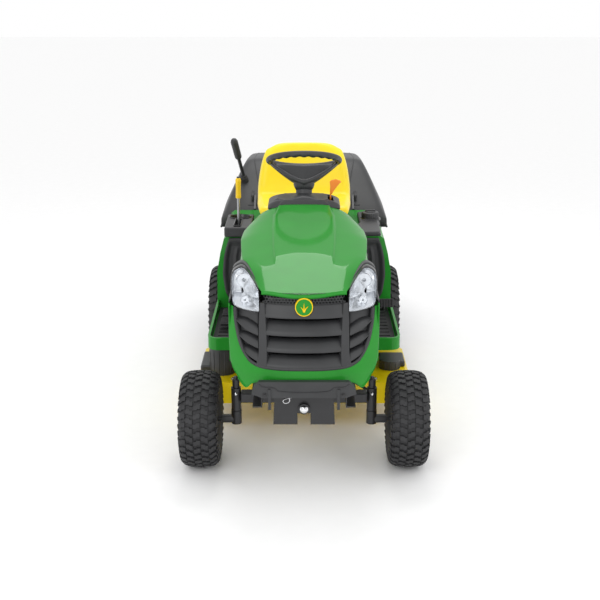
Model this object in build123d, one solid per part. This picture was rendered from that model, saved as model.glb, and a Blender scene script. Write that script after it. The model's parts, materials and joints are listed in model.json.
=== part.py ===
"""Garden tractor with a rear-discharge mower deck and a rear grass hopper.

Every shape is built with Y = 0 at the front axle, +Y to the rear, +X to the machine's left
and Z = 0 on the ground. save() moves it to the row's frame, whose origin is on the ground
under the middle of the machine's bounding box.
"""
from build123d import *
import os
from math import cos, radians, sin

# ---- driving dimensions, millimetres ----
FRONT_AXLE_Y = -913.0        # front axle in the row's frame
WHEELBASE = 1245.0
FRONT_R = 188.0              # 15x6.00-6 tyre
FRONT_W = 150.0
FRONT_RIM_R = 76.0
FRONT_OUT = 474.5            # outer face of the front tyre
REAR_R = 228.6               # 18x9.50-8 tyre
REAR_W = 236.0
REAR_RIM_R = 102.0
REAR_OUT = 466.5
KINGPIN_X = 262.0
BEAM_Z = 282.0               # front axle pivot height
ARM_Y = 95.0                 # steering arm length
ARM_Z = 238.0
SPINDLE_R = 9.5
RUN = 0.06                   # radial running clearance
RAIL_X = 170.0               # frame rail centre
RAIL_Z0 = 330.0
RAIL_Z1 = 400.0
HINGE_Y = -245.0             # hood hinge
HINGE_Z = 468.0
HINGE_X = 56.0                 # outer face of each fixed hinge lug
HINGE_PIN_R = 5.0
HOOD_REAR = 520.0
SKIN = 5.0                   # hood wall
WHEEL_C = (0.0, 680.0, 1080.0)   # middle of the steering rim
WHEEL_R = 163.0
RIM_TUBE_R = 15.0
HUB_DROP = 105.0             # rim plane to hub
LEAN = 20.0                  # steering column lean, degrees
PINION_DROP = 798.0          # rim plane to pinion, along the column
DECK_Y0 = 322.0
DECK_Y1 = 840.0
DECK_X = 448.0
DECK_Z0 = 112.0
DECK_Z1 = 206.0
BLADE_X = 215.0
BLADE_Y = 572.0
BLADE_R = 205.0
BOARD_X = 402.0              # outer edge of the footrests
BOARD_Y0 = 336.0             # front edge of the footrests
BOARD_CORNER_R = 46.0
RIM_T = 10.0                 # footrest rim
BOARD_Z = 356.0
FENDER_TOP = 700.0
FENDER_Y0 = 872.0
FENDER_Y1 = 1420.0
ARCH_R = 264.0
CHUTE_X0 = -140.0
CHUTE_X1 = 80.0
SEAT_PIVOT = (930.0, 722.0)  # y and z of the seat's tilt pin
HOPPER_PIVOT = (1520.0, 752.0)
HOPPER_Y0 = 1445.0
HOPPER_Y1 = 2120.0
LEVER_X = -304.0
LEVER_PIVOT = (985.0, 560.0)
CUP = (-300.0, 1062.0, 746.0)
CRANK_Y = 230.0
DRIVEN_PULLEY = (185.0, 1100.0)
DRIVE_Z = 270.0

os.makedirs("parts", exist_ok=True)


# ---- helpers ----
def save(name, shape):
    export_step(Pos(0, FRONT_AXLE_Y, 0) * shape, f"parts/{name}.step")


def block(x0, x1, y0, y1, z0, z1, soft=0.0):
    solid = Pos((x0 + x1) / 2, (y0 + y1) / 2, (z0 + z1) / 2) * Box(x1 - x0, y1 - y0, z1 - z0)
    if soft:
        solid = fillet(solid.edges(), soft)
    return solid


def rod(start, end, r):
    """A round bar between two points."""
    a = Vector(*start)
    b = Vector(*end)
    bar = Cylinder(r, (b - a).length, align=(Align.CENTER, Align.CENTER, Align.MIN))
    return Plane(origin=a, z_dir=b - a) * bar


def bent_rod(points, r):
    """A round bar through several points, with ball-shaped corners."""
    solid = rod(points[0], points[1], r)
    for start, end in zip(points[1:], points[2:]):
        solid += Pos(*start) * Sphere(r)
        solid += rod(start, end, r)
    return solid


def prism_xz(points, y0, y1):
    """A front-view outline, (x, z) points, made solid from y0 back to y1."""
    face = make_face(Polyline(*[(x, y0, z) for x, z in points], close=True))
    return extrude(face, amount=y1 - y0, dir=(0, 1, 0))


def prism_yz(points, x0, x1):
    """A side-view outline, (y, z) points, made solid from x0 to x1."""
    face = make_face(Polyline(*[(x0, y, z) for y, z in points], close=True))
    return extrude(face, amount=x1 - x0, dir=(1, 0, 0))


def prism_xy(points, z0, z1):
    face = make_face(Polyline(*[(x, y, z0) for x, y in points], close=True))
    return extrude(face, amount=z1 - z0, dir=(0, 0, 1))


def both(shape):
    """The shape and its mirror image across the machine's middle."""
    return shape + shape.mirror(Plane.YZ)


def mirrored(points):
    """Half an outline, from the middle outwards, closed by its mirror image."""
    return points + [(-x, z) for x, z in reversed(points) if x > 0.01]


def skin_loft(sections):
    """A closed solid through flat sections, each a list of 3-D points."""
    return loft([make_face(Polyline(*points, close=True)) for points in sections], ruled=True)


def turned(profile, axis_point, direction=(1, 0, 0)):
    """A profile of (along, radius) points revolved about a line."""
    face = make_face(Polyline(*[(a, r, 0) for a, r in profile], close=True))
    solid = revolve(face, Axis.X, 360)
    side = Vector(*direction).cross(Vector(0, 0, 1))
    return Plane(origin=axis_point, z_dir=side, x_dir=direction) * solid


# ---- frame and running gear fixed to it ----
def chassis_frame():
    rail_y0 = -222.0
    rail_y1 = 1422.0
    rail = block(RAIL_X - 18, RAIL_X + 18, rail_y0, rail_y1, RAIL_Z0, RAIL_Z1)
    rail -= block(RAIL_X - 14, RAIL_X + 19, rail_y0 - 1, rail_y1 + 1, RAIL_Z0 + 5, RAIL_Z1 - 5)
    frame = both(rail)
    for y in (-150.0, 20.0, 300.0, 450.0, 760.0):
        frame += block(-RAIL_X + 14, RAIL_X - 14, y, y + 45, RAIL_Z1 - 10, RAIL_Z1)
    pivot_plate = prism_xz([(-70, RAIL_Z1 - 5), (-45, 250), (45, 250), (70, RAIL_Z1 - 5)], 40, 48)
    frame += pivot_plate + Pos(0, -88, 0) * pivot_plate
    frame += block(-155, 155, 40, 48, RAIL_Z1 - 60, RAIL_Z1 - 4)
    frame += block(-155, 155, -48, -40, RAIL_Z1 - 60, RAIL_Z1 - 4)
    frame += rod((0, -56, BEAM_Z), (0, 56, BEAM_Z), 10)
    axle_hanger = block(RAIL_X - 18, RAIL_X - 8, WHEELBASE - 60, WHEELBASE + 60, 262, RAIL_Z0 + 4)
    frame += both(axle_hanger)
    return frame


def front_hitch_bracket():
    """The pressed plate under the bumper, with two legs and a bolted boss between them."""
    half = 113.0
    y0 = -206.0
    outline = [(24, 300), (24, 256), (half, 256), (half - 6, 396)]
    plate = prism_xz(mirrored([(0, 300)] + outline + [(0, 396)]), y0, y0 + 6)
    shelf = block(-half + 6, half - 6, y0, -150, 390, 396)
    side = block(half - 12, half - 6, y0, -150, 330, 396)
    boss = rod((0, y0 - 14, 322), (0, y0 + 20, 322), 20)
    solid = plate + shelf + both(side) + boss + both(hinge_lug())
    return solid - rod((0, y0 - 20, 322), (0, y0 + 30, 322), 6.5)


def hinge_lug():
    """Fixed lug that reaches forward to the hood's hinge, with its pin."""
    y = HINGE_Y
    z = HINGE_Z
    outline = [(y + 39, 395), (y + 33, z - 16), (y + 23, z - 9), (y + 7, z - 10), (y - 5, z - 5),
               (y - 5, z + 4), (y, z + 10), (y + 53, z + 2), (y + 59, 395)]
    lug = prism_yz(outline, HINGE_X - 6, HINGE_X)
    return lug + rod((HINGE_X - 8, y, z), (HINGE_X + 13, y, z), HINGE_PIN_R)


def hood_lug():
    """Eye inside the hood's chin that turns on the hinge pin."""
    x0 = HINGE_X + 1
    x1 = HINGE_X + 11
    eye = rod((x0, HINGE_Y, HINGE_Z), (x1, HINGE_Y, HINGE_Z), 10.5)
    eye += block(x0, x1, HINGE_Y - 12, HINGE_Y, HINGE_Z - 6, HINGE_Z + 6)
    return eye - rod((x0 - 1, HINGE_Y, HINGE_Z), (x1 + 1, HINGE_Y, HINGE_Z), HINGE_PIN_R + RUN)


def front_bumper():
    y_front = -290.0
    outer = [(0, 396), (150, 396), (168, 404), (187, 410), (178, 440), (160, 457), (0, 457)]
    bar = prism_xz(outer + [(-x, z) for x, z in reversed(outer[1:-1])], y_front, y_front + 22)
    hook = block(118, 128, y_front - 4, y_front + 4, 352, 430)
    hook += block(118, 128, y_front - 4, y_front + 18, 398, 408)
    arm = block(92, 104, y_front + 20, -205, 397, 407)
    return bar + both(hook) + both(arm)


def axle_beam():
    beam = block(-KINGPIN_X + 18, KINGPIN_X - 18, -26, 26, BEAM_Z - 20, BEAM_Z + 18, 5)
    boss = rod((KINGPIN_X, 0, 226), (KINGPIN_X, 0, 318), 19)
    solid = beam + both(boss) + rod((0, -34, BEAM_Z), (0, 34, BEAM_Z), 24)
    solid -= rod((0, -40, BEAM_Z), (0, 40, BEAM_Z), 10 + RUN)
    for side in (-1, 1):
        solid -= rod((side * KINGPIN_X, 0, 200), (side * KINGPIN_X, 0, 360), 10 + RUN)
    return solid


def knuckle(side, stud_top):
    """King pin, wheel spindle and steering arm of one front wheel."""
    x = side * KINGPIN_X
    pin = rod((x, 0, 180), (x, 0, 334), 10) + rod((x, 0, 320), (x, 0, 352), 14)
    yoke = rod((x, 0, 170), (x, 0, 224), 20)
    spindle = rod((x, 0, FRONT_R), (side * 452.0, 0, FRONT_R), SPINDLE_R)
    collar = rod((x, 0, FRONT_R), (side * 318.0, 0, FRONT_R), 17)
    arm = prism_xy([(x - 14, 0), (x + 14, 0), (x + 12, ARM_Y), (x - 12, ARM_Y)], 206, 218)
    arm += rod((x, ARM_Y, 206), (x, ARM_Y, 218), 12)
    ball = rod((x, ARM_Y, 212), (x, ARM_Y, stud_top), 5)
    return pin + yoke + spindle + collar + arm + ball


def tie_rod():
    ends = [rod((s * KINGPIN_X, ARM_Y, ARM_Z - 9), (s * KINGPIN_X, ARM_Y, ARM_Z + 9), 13) for s in (-1, 1)]
    bar = rod((-KINGPIN_X, ARM_Y, ARM_Z), (KINGPIN_X, ARM_Y, ARM_Z), 8) + ends[0] + ends[1]
    for s in (-1, 1):
        bar -= rod((s * KINGPIN_X, ARM_Y, ARM_Z - 20), (s * KINGPIN_X, ARM_Y, ARM_Z + 20), 5 + RUN)
    return bar


def drag_link():
    """Eight-sided bar from the sector's pin, round behind the crankshaft, to the left knuckle's arm."""
    corners = [radians(22.5 + 45 * i) for i in range(8)]
    stations = [(KINGPIN_X - 6, ARM_Y + 4, 263), (150, 205, 292), (92, 262, 303), (50, 272, 324), (15, 272, 343)]
    bar = skin_loft([[(x, y + 8 * cos(a), z + 7 * sin(a)) for a in corners] for x, y, z in stations])
    for x, y, r, z0, z1 in ((KINGPIN_X, ARM_Y, 12.5, 254, 272), (12, 272, 11.5, 336, 350.5)):
        bar += prism_xy([(x + r * cos(a), y + r * sin(a)) for a in corners], z0, z1)
    return bar - rod((KINGPIN_X, ARM_Y, 240), (KINGPIN_X, ARM_Y, 290), 5 + RUN)


def tyre(side, r, w, rim_r, out, y):
    """A hollow tyre casing: crown, shoulders, side walls and beads."""
    x_mid = side * (out - w / 2)
    h = w / 2
    wall = 9.0
    outer = [(-h * 0.74, rim_r), (-h * 0.97, rim_r + 22), (-h, (r + rim_r) / 2), (-h * 0.96, r - 22),
             (-h * 0.8, r - 6), (-h * 0.45, r)]
    inner = [(-h * 0.74 + wall, rim_r), (-h + wall + 3, rim_r + 25), (-h + wall, (r + rim_r) / 2),
             (-h * 0.93 + wall, r - 28), (-h * 0.72, r - wall - 10), (-h * 0.4, r - wall - 6)]
    half = outer + [(-a, b) for a, b in reversed(outer)]
    back = inner + [(-a, b) for a, b in reversed(inner)]
    return turned(half + back[::-1], (x_mid, y, r))


def rim(side, r_tyre, w, rim_r, out, y, dish):
    """A pressed wheel: barrel, flanges, dished disc and hub."""
    x_mid = side * (out - w / 2)
    h = w / 2 * 0.74 - 9.0
    bore = SPINDLE_R + RUN
    half = [(-h - 7, rim_r - 0.2), (-h - 7, rim_r - 7), (-h, rim_r - 9), (-h + 8, rim_r - 14)]
    top = [(-h + 8, rim_r - 8), (-h, rim_r - 0.2)]
    far = [(-a, b) for a, b in reversed(half)]
    disc = [(dish + 2, rim_r - 14), (dish + 8, rim_r * 0.6), (dish + 14, 26), (h + 2, 24), (h + 2, bore),
            (-h * 0.7, bore), (-h * 0.7, 24), (dish + 8, 26), (dish + 2, rim_r * 0.6), (dish - 4, rim_r - 14)]
    outline = half + disc[::-1] + far + [(-a, b) for a, b in reversed(top)] + top
    solid = turned([(side * a, b) for a, b in outline], (x_mid, y, r_tyre))
    return solid


def transaxle():
    case = block(-90, 120, WHEELBASE - 75, WHEELBASE + 75, 165, 292, 14)
    unit = block(110, 205, 1060, 1200, 180, 255, 8)
    tube = rod((-205, WHEELBASE, REAR_R), (205, WHEELBASE, REAR_R), 24)
    shaft = rod((-450, WHEELBASE, REAR_R), (450, WHEELBASE, REAR_R), SPINDLE_R)
    post = rod((*DRIVEN_PULLEY, 250), (*DRIVEN_PULLEY, DRIVE_Z - 8.3), 12)
    pulley = rod((*DRIVEN_PULLEY, DRIVE_Z - 8), (*DRIVEN_PULLEY, DRIVE_Z + 8), 32)
    for z in (-8, 5):
        pulley += rod((*DRIVEN_PULLEY, DRIVE_Z + z), (*DRIVEN_PULLEY, DRIVE_Z + z + 3), 38)
    return case + unit + tube + shaft + post + pulley


def belt_loop(circles, z, width, thick):
    """A flat closed belt round pulleys given as (x, y, radius)."""
    def hull(grow):
        edges = [Pos(x, y, z) * Edge.make_circle(r + grow) for x, y, r in circles]
        return make_face(make_hull(edges))
    ring = hull(thick) - hull(0)
    return Pos(0, 0, -width / 2) * extrude(ring, amount=width, dir=(0, 0, 1))


def drive_belt():
    return belt_loop([(0, CRANK_Y, 45.4), (*DRIVEN_PULLEY, 32.4)], DRIVE_Z, 9.0, 5.0)


def crank_pulleys():
    """Vertical crankshaft with the drive pulley and the blade clutch under the engine."""
    shaft = rod((0, CRANK_Y, 232), (0, CRANK_Y, 398), 12.5)
    parts = shaft + rod((0, CRANK_Y, DRIVE_Z - 8), (0, CRANK_Y, DRIVE_Z + 8), 45)
    for z in (-8, 5):
        parts += rod((0, CRANK_Y, DRIVE_Z + z), (0, CRANK_Y, DRIVE_Z + z + 3), 51)
    return parts + rod((0, CRANK_Y, 234), (0, CRANK_Y, 258), 62)


def engine_block():
    case = block(-150, 150, 70, 400, 402, 560, 18) - rod((0, CRANK_Y, 390), (0, CRANK_Y, 420), 14)
    head = block(-95, 95, 30, 80, 430, 540, 8)
    fins = head
    for i in range(6):
        fins += block(-112, 112, 24, 70, 438 + i * 17, 443 + i * 17)
    return case + fins


def engine_shroud():
    solid = rod((0, CRANK_Y, 562), (0, CRANK_Y, 690), 168) + rod((0, CRANK_Y, 690), (0, CRANK_Y, 722), 128)
    solid -= rod((0, CRANK_Y, 556), (0, CRANK_Y, 684), 160)
    solid -= rod((0, CRANK_Y, 600), (0, CRANK_Y, 716), 112)
    for i in range(-5, 6):
        slat_y = CRANK_Y + i * 18
        slat = block(-118, 118, slat_y - 2, slat_y + 2, 704, 710)
        solid += slat & rod((0, CRANK_Y, 700), (0, CRANK_Y, 714), 118)
    return solid + block(-70, 70, 52, 90, 600, 680, 8)


def muffler():
    can = rod((-118, -6, 620), (118, -6, 620), 44)
    pipe = bent_rod([(-60, -6, 580), (-60, 4, 552), (-60, 10, 520)], 13)
    outlet = bent_rod([(118, -6, 640), (142, -6, 632), (150, -20, 585)], 11)
    return can + pipe + outlet


def battery():
    return (block(-98, 98, -160, -68, 402, 560, 4) + block(-80, -60, -150, -130, 556, 574, 3)
            + block(60, 80, -150, -130, 556, 574, 3))


def fuel_tank():
    tank = block(236, 372, 1010, 1310, 496, 640, 22)
    neck = rod((318, 1150, 590), (318, 1150, 722), 30) - rod((318, 1150, 640), (318, 1150, 726), 24)
    return tank + neck


# ---- hood and nose ----
def nose_front(x, z):
    """How far forward the nose reaches, at a distance x from the middle and a height z."""
    return -262.0 + 130.0 * (abs(x) / 284.0) ** 2.6 + 0.19 * max(0.0, z - 460.0)


def hood_plan(z, half, inset):
    """Plan outline of the hood at a height, from the front centre out and back."""
    steps = 7
    w = half - inset
    rear = HOOD_REAR + 2 * inset
    across = [w * (i / steps) ** 0.8 for i in range(steps + 1)]
    side = [(x, nose_front(x, z) + inset) for x in across]
    side += [(w, 20), (248 - inset, 200), (248 - inset, 330), (226 - inset, rear)]
    return [(x, y, z) for x, y in side] + [(-x, y, z) for x, y in reversed(side) if x > 0.01]


def hood_crown(y, centre, edge, half, inset):
    """Cross-section under the hood's top: a crowned roof over a deep open box."""
    flat = 0.42 * half
    fall = centre - edge
    roof = [(flat, centre), (0.7 * half, centre - 0.2 * fall), (0.88 * half, centre - 0.5 * fall), (half, edge)]
    points = [(x, z - inset) for x, z in roof]
    points += [(half + 40, edge - 80 - inset), (half + 40, 380)]
    return [(x, y, z) for x, z in points] + [(-x, y, z) for x, z in reversed(points)]


def hood_solid(inset):
    heights = [(392 + inset * 1.2, 206), (430, 240), (475, 268), (600, 277), (700, 276), (790, 266),
               (850, 244), (960, 236)]
    body = skin_loft([hood_plan(z, half, inset) for z, half in heights])
    crowns = [(-300, 742, 728, 150), (-206, 756, 744, 160), (-120, 800, 786, 214), (0, 826, 796, 238),
              (130, 852, 808, 247), (260, 878, 812, 248), (400, 903, 812, 240),
              (HOOD_REAR + 20, 929, 804, 222)]
    roof = skin_loft([hood_crown(y, c, e, half, inset) for y, c, e, half in crowns])
    return body & roof


LAMP = [(158, 684), (250, 687), (264, 706), (269, 760), (268, 800), (230, 838), (208, 838), (180, 806),
        (159, 764)]
GRILLE = [(0, 758), (150, 755), (159, 764), (158, 684), (250, 687), (256, 684), (250, 610), (232, 560),
          (204, 512), (147, 495), (0, 494)]


def hood_parts():
    shell = hood_solid(0) - hood_solid(SKIN)
    below = [(0, 447), (158, 438), (190, 422), (214, 396), (300, 474), (300, 380), (0, 380)]
    shell -= prism_xz(mirrored(below), -300, 30)
    shell -= block(-300, 300, 28, HOOD_REAR + 10, 380, 476)
    lamp_cut = both(prism_xz(LAMP, -300, -40))
    grille_cut = prism_xz(mirrored(GRILLE), -300, -60)
    side_outline = [(-20, 560), (60, 640), (330, 700), (490, 700), (490, 470), (-20, 470)]
    side_cut = both(prism_yz(side_outline, 200, 300))
    lens = shell & lamp_cut
    front = (shell & grille_cut) - lamp_cut
    vents = (shell & side_cut) - lamp_cut - grille_cut
    green = shell - lamp_cut - grille_cut - side_cut + both(hood_lug())
    return green, front, lens, vents


def grille(front):
    """Three wide open slots between four slats, with louvres in the side wings."""
    for z0, z1 in ((655, 667), (592, 606), (533, 546)):
        front -= block(-136, 136, -300, -60, z0, z1)
    for i in range(3):
        z = 640 - i * 42
        tip = 232 - 8 * i
        front -= both(prism_xz([(176, z), (tip, z - 4), (tip, z - 14), (176, z - 22)], -300, -60))
    return front


def lamp_bowls():
    outline = [(168, 694), (244, 697), (254, 712), (257, 780), (226, 822), (206, 822), (182, 794), (168, 764)]
    bowl = prism_xz(outline, -112, -60)
    shape = bowl & hood_solid(SKIN + 4)
    return shape - rod((218, -160, 745), (218, -84, 745), 26)


# ---- dash and steering ----
def column_axis():
    return Vector(0, sin(radians(LEAN)), cos(radians(LEAN)))


def on_column(drop, radius=0.0, turn=0.0):
    """A point below the rim's plane, at a radius round the column; turn 0 is to the machine's left."""
    axis = column_axis()
    back = Vector(0, cos(radians(LEAN)), -sin(radians(LEAN)))
    left = Vector(1, 0, 0)
    return (Vector(*WHEEL_C) - axis * drop + left * (radius * cos(radians(turn)))
            + back * (radius * sin(radians(turn))))


def steering_wheel():
    axis = column_axis()
    rim_plane = Plane(origin=Vector(*WHEEL_C), z_dir=axis, x_dir=(1, 0, 0))
    solid = rim_plane * Torus(WHEEL_R - RIM_TUBE_R, RIM_TUBE_R)
    hub = rod(tuple(on_column(HUB_DROP + 18)), tuple(on_column(HUB_DROP - 26)), 44)
    solid += hub
    for turn in (16, 164):
        start = tuple(on_column(HUB_DROP - 8, 30, turn))
        end = tuple(on_column(4, WHEEL_R - RIM_TUBE_R, turn))
        solid += rod(start, end, 11)
    return solid - rod(tuple(on_column(HUB_DROP + 30)), tuple(on_column(HUB_DROP - 10)), 9.5)


def steering_shaft():
    """Column shaft with the pinion at its lower end."""
    low = PINION_DROP - 6
    shaft = rod(tuple(on_column(low)), tuple(on_column(HUB_DROP - 10)), 9.5)
    return shaft + rod(tuple(on_column(low)), tuple(on_column(low - 16)), 12.5)


def sector_pivot():
    return on_column(PINION_DROP - 8, 88, -90)


def steering_sector():
    """Toothed sector that the pinion turns, on a stud ahead of the column."""
    axis = column_axis()
    plate = Plane(origin=sector_pivot(), z_dir=axis, x_dir=(1, 0, 0))
    disc = Cylinder(74.8, 8) & (Pos(0, 60, 0) * Box(150, 90, 10))
    solid = disc + Cylinder(22, 8) + Pos(0, 14, 0) * Box(34, 40, 8) + Pos(0, -32, 0) * Box(24, 56, 8)
    solid += Pos(0, -60, -5) * Cylinder(8, 18)
    return plate * (solid - Cylinder(8 + RUN, 12))


def sector_stud():
    axis = column_axis()
    plate = Plane(origin=sector_pivot(), z_dir=axis, x_dir=(1, 0, 0))
    return plate * (Pos(0, 0, 8) * Cylinder(8, 36))


def dash_tower():
    """Moulded tower behind the hood, open below, with a raised brow round the column."""
    def ring(z, y0, y1, half, inset):
        x = half - inset
        pts = [(half * 0.72, y0 + inset), (x, y0 + 40), (x, y1 - 40), (half * 0.72, y1 - inset)]
        return [(x, y, z) for x, y in pts] + [(-x, y, z) for x, y in reversed(pts)]
    levels = [(404, 528, 770, 150), (700, 528, 740, 150), (860, 527, 720, 152), (916, 527, 700, 148),
              (938, 535, 680, 112)]
    outer = skin_loft([ring(z, a, b, w, 0) for z, a, b, w in levels])
    inner = skin_loft([ring(z - 5, a + 5, b - 5, w - 5, 0) for z, a, b, w in levels])
    tower = outer - inner
    boot = rod(tuple(on_column(210)), tuple(on_column(HUB_DROP + 24)), 34)
    tower += boot - inner
    return tower - rod(tuple(on_column(560)), tuple(on_column(HUB_DROP)), 13)


def throttle_lever():
    """Friction lever on the left of the dash, with a flat fan-shaped knob."""
    arm = rod((112, 606, 912), (112, 590, 962), 3)
    fan = [(108, 954), (117, 953), (128, 968), (150, 1000), (156, 1004), (150, 1011), (134, 1015),
           (112, 1010)]
    knob = prism_xz(fan, 584, 592)
    return arm + knob + rod((106, 606, 908), (118, 606, 908), 10)


def ignition_key():
    return rod((-92, 690, 883), (-92, 726, 883), 6) + block(-96, -88, 722, 744, 872, 894)


def pto_knob():
    return rod((62, 680, 868), (62, 726, 868), 5) + rod((62, 726, 868), (62, 742, 868), 16)


def dash_sockets():
    """Holes in the dash for the key, the blade knob and the throttle arm."""
    return (rod((-92, 640, 883), (-92, 760, 883), 9) + rod((62, 640, 868), (62, 760, 868), 7)
            + block(100, 124, 560, 640, 880, 945))


# ---- footrests, fenders and consoles ----
def arch(side_x0, side_x1):
    return rod((side_x0, WHEELBASE, REAR_R), (side_x1, WHEELBASE, REAR_R), ARCH_R)


def board_corner(inset):
    """The footrest's rounded front corner, moved inwards by the inset."""
    turns = [radians(-90 + 11.25 * i) for i in range(9)]
    r = BOARD_CORNER_R - inset
    return [(BOARD_X - BOARD_CORNER_R + r * cos(a), BOARD_Y0 + BOARD_CORNER_R + r * sin(a)) for a in turns]


def footrest():
    """One footrest pan: floor, raised rim and the step under the fender."""
    plan = [(252, BOARD_Y0), *board_corner(0), (BOARD_X, FENDER_Y0 + 10), (205, FENDER_Y0 + 10), (205, 540), (252, 500)]
    inner = [(252, BOARD_Y0 + RIM_T), *board_corner(RIM_T), (BOARD_X - RIM_T, FENDER_Y0 + 20),
             (195, FENDER_Y0 + 20), (195, 540), (244, 496)]
    return prism_xy(plan, 345, 398) - prism_xy(inner, BOARD_Z, 420)


def fender_deck():
    outer = [(0, FENDER_TOP), (350, FENDER_TOP), (366, FENDER_TOP - 12), (384, 620), (400, 532), (402, 345)]
    inner = [(0, FENDER_TOP - 6), (346, FENDER_TOP - 6), (360, FENDER_TOP - 16), (378, 620), (394, 532),
             (396, 345)]
    closed_out = outer + [(-x, z) for x, z in reversed(outer[1:])]
    closed_in = inner + [(-x, z) for x, z in reversed(inner[1:])]
    shell = prism_xz(closed_out, FENDER_Y0, FENDER_Y1) - prism_xz(closed_in, FENDER_Y0 + 6, FENDER_Y1 + 1)
    shell -= block(-196, 196, FENDER_Y0 - 5, FENDER_Y0 + 10, 340, FENDER_TOP - 40)
    shell -= arch(-450, 450)
    shell -= block(-450, 450, WHEELBASE, FENDER_Y1 + 5, 300, 480)
    shell -= block(-196, 196, 1330, FENDER_Y1 + 5, 650, 720)
    apron = block(-205, 205, 772, FENDER_Y0 + 4, 402, 408)
    apron += block(-205, -199, 540, FENDER_Y0 + 4, 345, 408) + block(199, 205, 540, FENDER_Y0 + 4, 345, 408)
    body = shell + both(footrest()) + apron
    return body - lever_slot() - rod((318, 1150, 650), (318, 1150, 760), 33) - cup_well(4)


def lever_slot():
    """Clearance for the lift lever's swing, wider above the fender."""
    return (block(LEVER_X - 15, LEVER_X + 15, 890, 1006, 560, FENDER_TOP + 1)
            + block(LEVER_X - 15, LEVER_X + 15, 860, 1006, FENDER_TOP, 780))


def cup_well(grow):
    well = extrude(Ellipse(46 + grow, 40 + grow), amount=200)
    return Pos(CUP[0], CUP[1], 650 - grow) * well


def foot_mats():
    edge = RIM_T + 4
    mat = prism_xy([(258, BOARD_Y0 + edge), *board_corner(edge), (BOARD_X - edge, 860), (222, 860), (222, 560),
                    (258, 520)], BOARD_Z + 0.2, BOARD_Z + 6)
    for i in range(10):
        mat += block(266, BOARD_X - 34, 380 + i * 44, 392 + i * 44, BOARD_Z + 5, BOARD_Z + 9)
    return both(mat)


def control_consoles():
    """Side mouldings on the fenders: cup holder and lever slot, and the filler surround."""
    right = block(-362, -238, 846, 1124, FENDER_TOP + 0.5, CUP[2], 8) - lever_slot()
    cup = Pos(CUP[0], CUP[1], 0) * extrude(Ellipse(50, 44), amount=70).moved(Pos(0, 0, 650))
    right += cup
    right -= Pos(CUP[0], CUP[1], 0) * extrude(Ellipse(46, 40), amount=120).moved(Pos(0, 0, 655))
    right -= block(-370, -230, 840, FENDER_Y0 - 0.5, 600, 702)
    left = block(262, 360, 1040, 1290, FENDER_TOP + 0.5, 716, 6)
    left += block(240, 350, FENDER_Y0 - 6, 1050, FENDER_TOP + 0.5, 716, 6)
    left -= rod((318, 1150, 690), (318, 1150, 730), 33)
    return right, left


def fuel_cap():
    cap = rod((318, 1150, 724), (318, 1150, 752), 42) - rod((318, 1150, 720), (318, 1150, 742), 31)
    cap += Pos(318, 1150, 752) * Cylinder(30, 10)
    return cap


# ---- pedals ----
def brake_pedal():
    pad = block(326, 392, 596, 606, 448, 486, 3)
    pad = pad.rotate(Axis((359, 600, 467), (1, 0, 0)), -25)
    return pad + bent_rod([(350, 606, 462), (350, 640, 426), (235, 700, 419), (154, 700, 419)], 7)


def travel_pedal(x_mid, y, z):
    pad = block(x_mid - 32, x_mid + 32, y, y + 86, z, z + 8, 3)
    pivot_y = y + 66
    pivot_z = z - 18
    return pad + bent_rod([(x_mid, y + 50, z + 2), (x_mid, pivot_y, pivot_z), (-232, pivot_y, pivot_z)], 6)


# ---- mower deck ----
def deck_shell():
    """Pressed deck: flat top, skirt all round and an open tunnel at the rear."""
    def plan(inset):
        x = DECK_X - inset
        return [(60 - x, DECK_Y0 + inset), (x - 60, DECK_Y0 + inset), (x, DECK_Y0 + 90), (x, DECK_Y1 - 110),
                (x - 90, DECK_Y1 - inset), (90 - x, DECK_Y1 - inset), (-x, DECK_Y1 - 110), (-x, DECK_Y0 + 90)]
    shell = prism_xy(plan(0), DECK_Z0, DECK_Z1) - prism_xy(plan(4), DECK_Z0 - 1, DECK_Z1 - 4)
    shell += prism_xy(plan(0), DECK_Z0, DECK_Z0 + 8) - prism_xy(plan(9), DECK_Z0 - 1, DECK_Z0 + 9)
    tunnel = block(CHUTE_X0 + 8, CHUTE_X1 - 8, DECK_Y1 - 30, DECK_Y1 + 22, DECK_Z0 + 6, DECK_Z1 + 14)
    hole = block(CHUTE_X0 + 12, CHUTE_X1 - 12, DECK_Y1 - 60, DECK_Y1 + 30, DECK_Z0 + 10, DECK_Z1 - 8)
    shell = (shell + tunnel) - hole
    for side in (-1, 1):
        shell += rod((side * BLADE_X, BLADE_Y, DECK_Z1 - 26), (side * BLADE_X, BLADE_Y, DECK_Z1 + 12), 38)
        shell += block(side * 281 - 5, side * 281 + 5, 420, 720, DECK_Z1 - 1, DECK_Z1 + 30)
        shell -= rod((side * BLADE_X, BLADE_Y, DECK_Z0), (side * BLADE_X, BLADE_Y, DECK_Z1 + 40), 10 + RUN)
    return shell


def deck_covers():
    """Moulded covers over the belt ends; the right one carries a tall round housing."""
    solid = rod((-348, 452, DECK_Z1 + 0.3), (-348, 452, 324), 56)
    solid += block(-444, -330, 440, 620, DECK_Z1 + 0.3, 236, 8)
    left = rod((372, 500, DECK_Z1 + 0.3), (372, 500, 246), 46)
    left += block(330, 440, 500, 620, DECK_Z1 + 0.3, 232, 8)
    return solid + left


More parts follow.
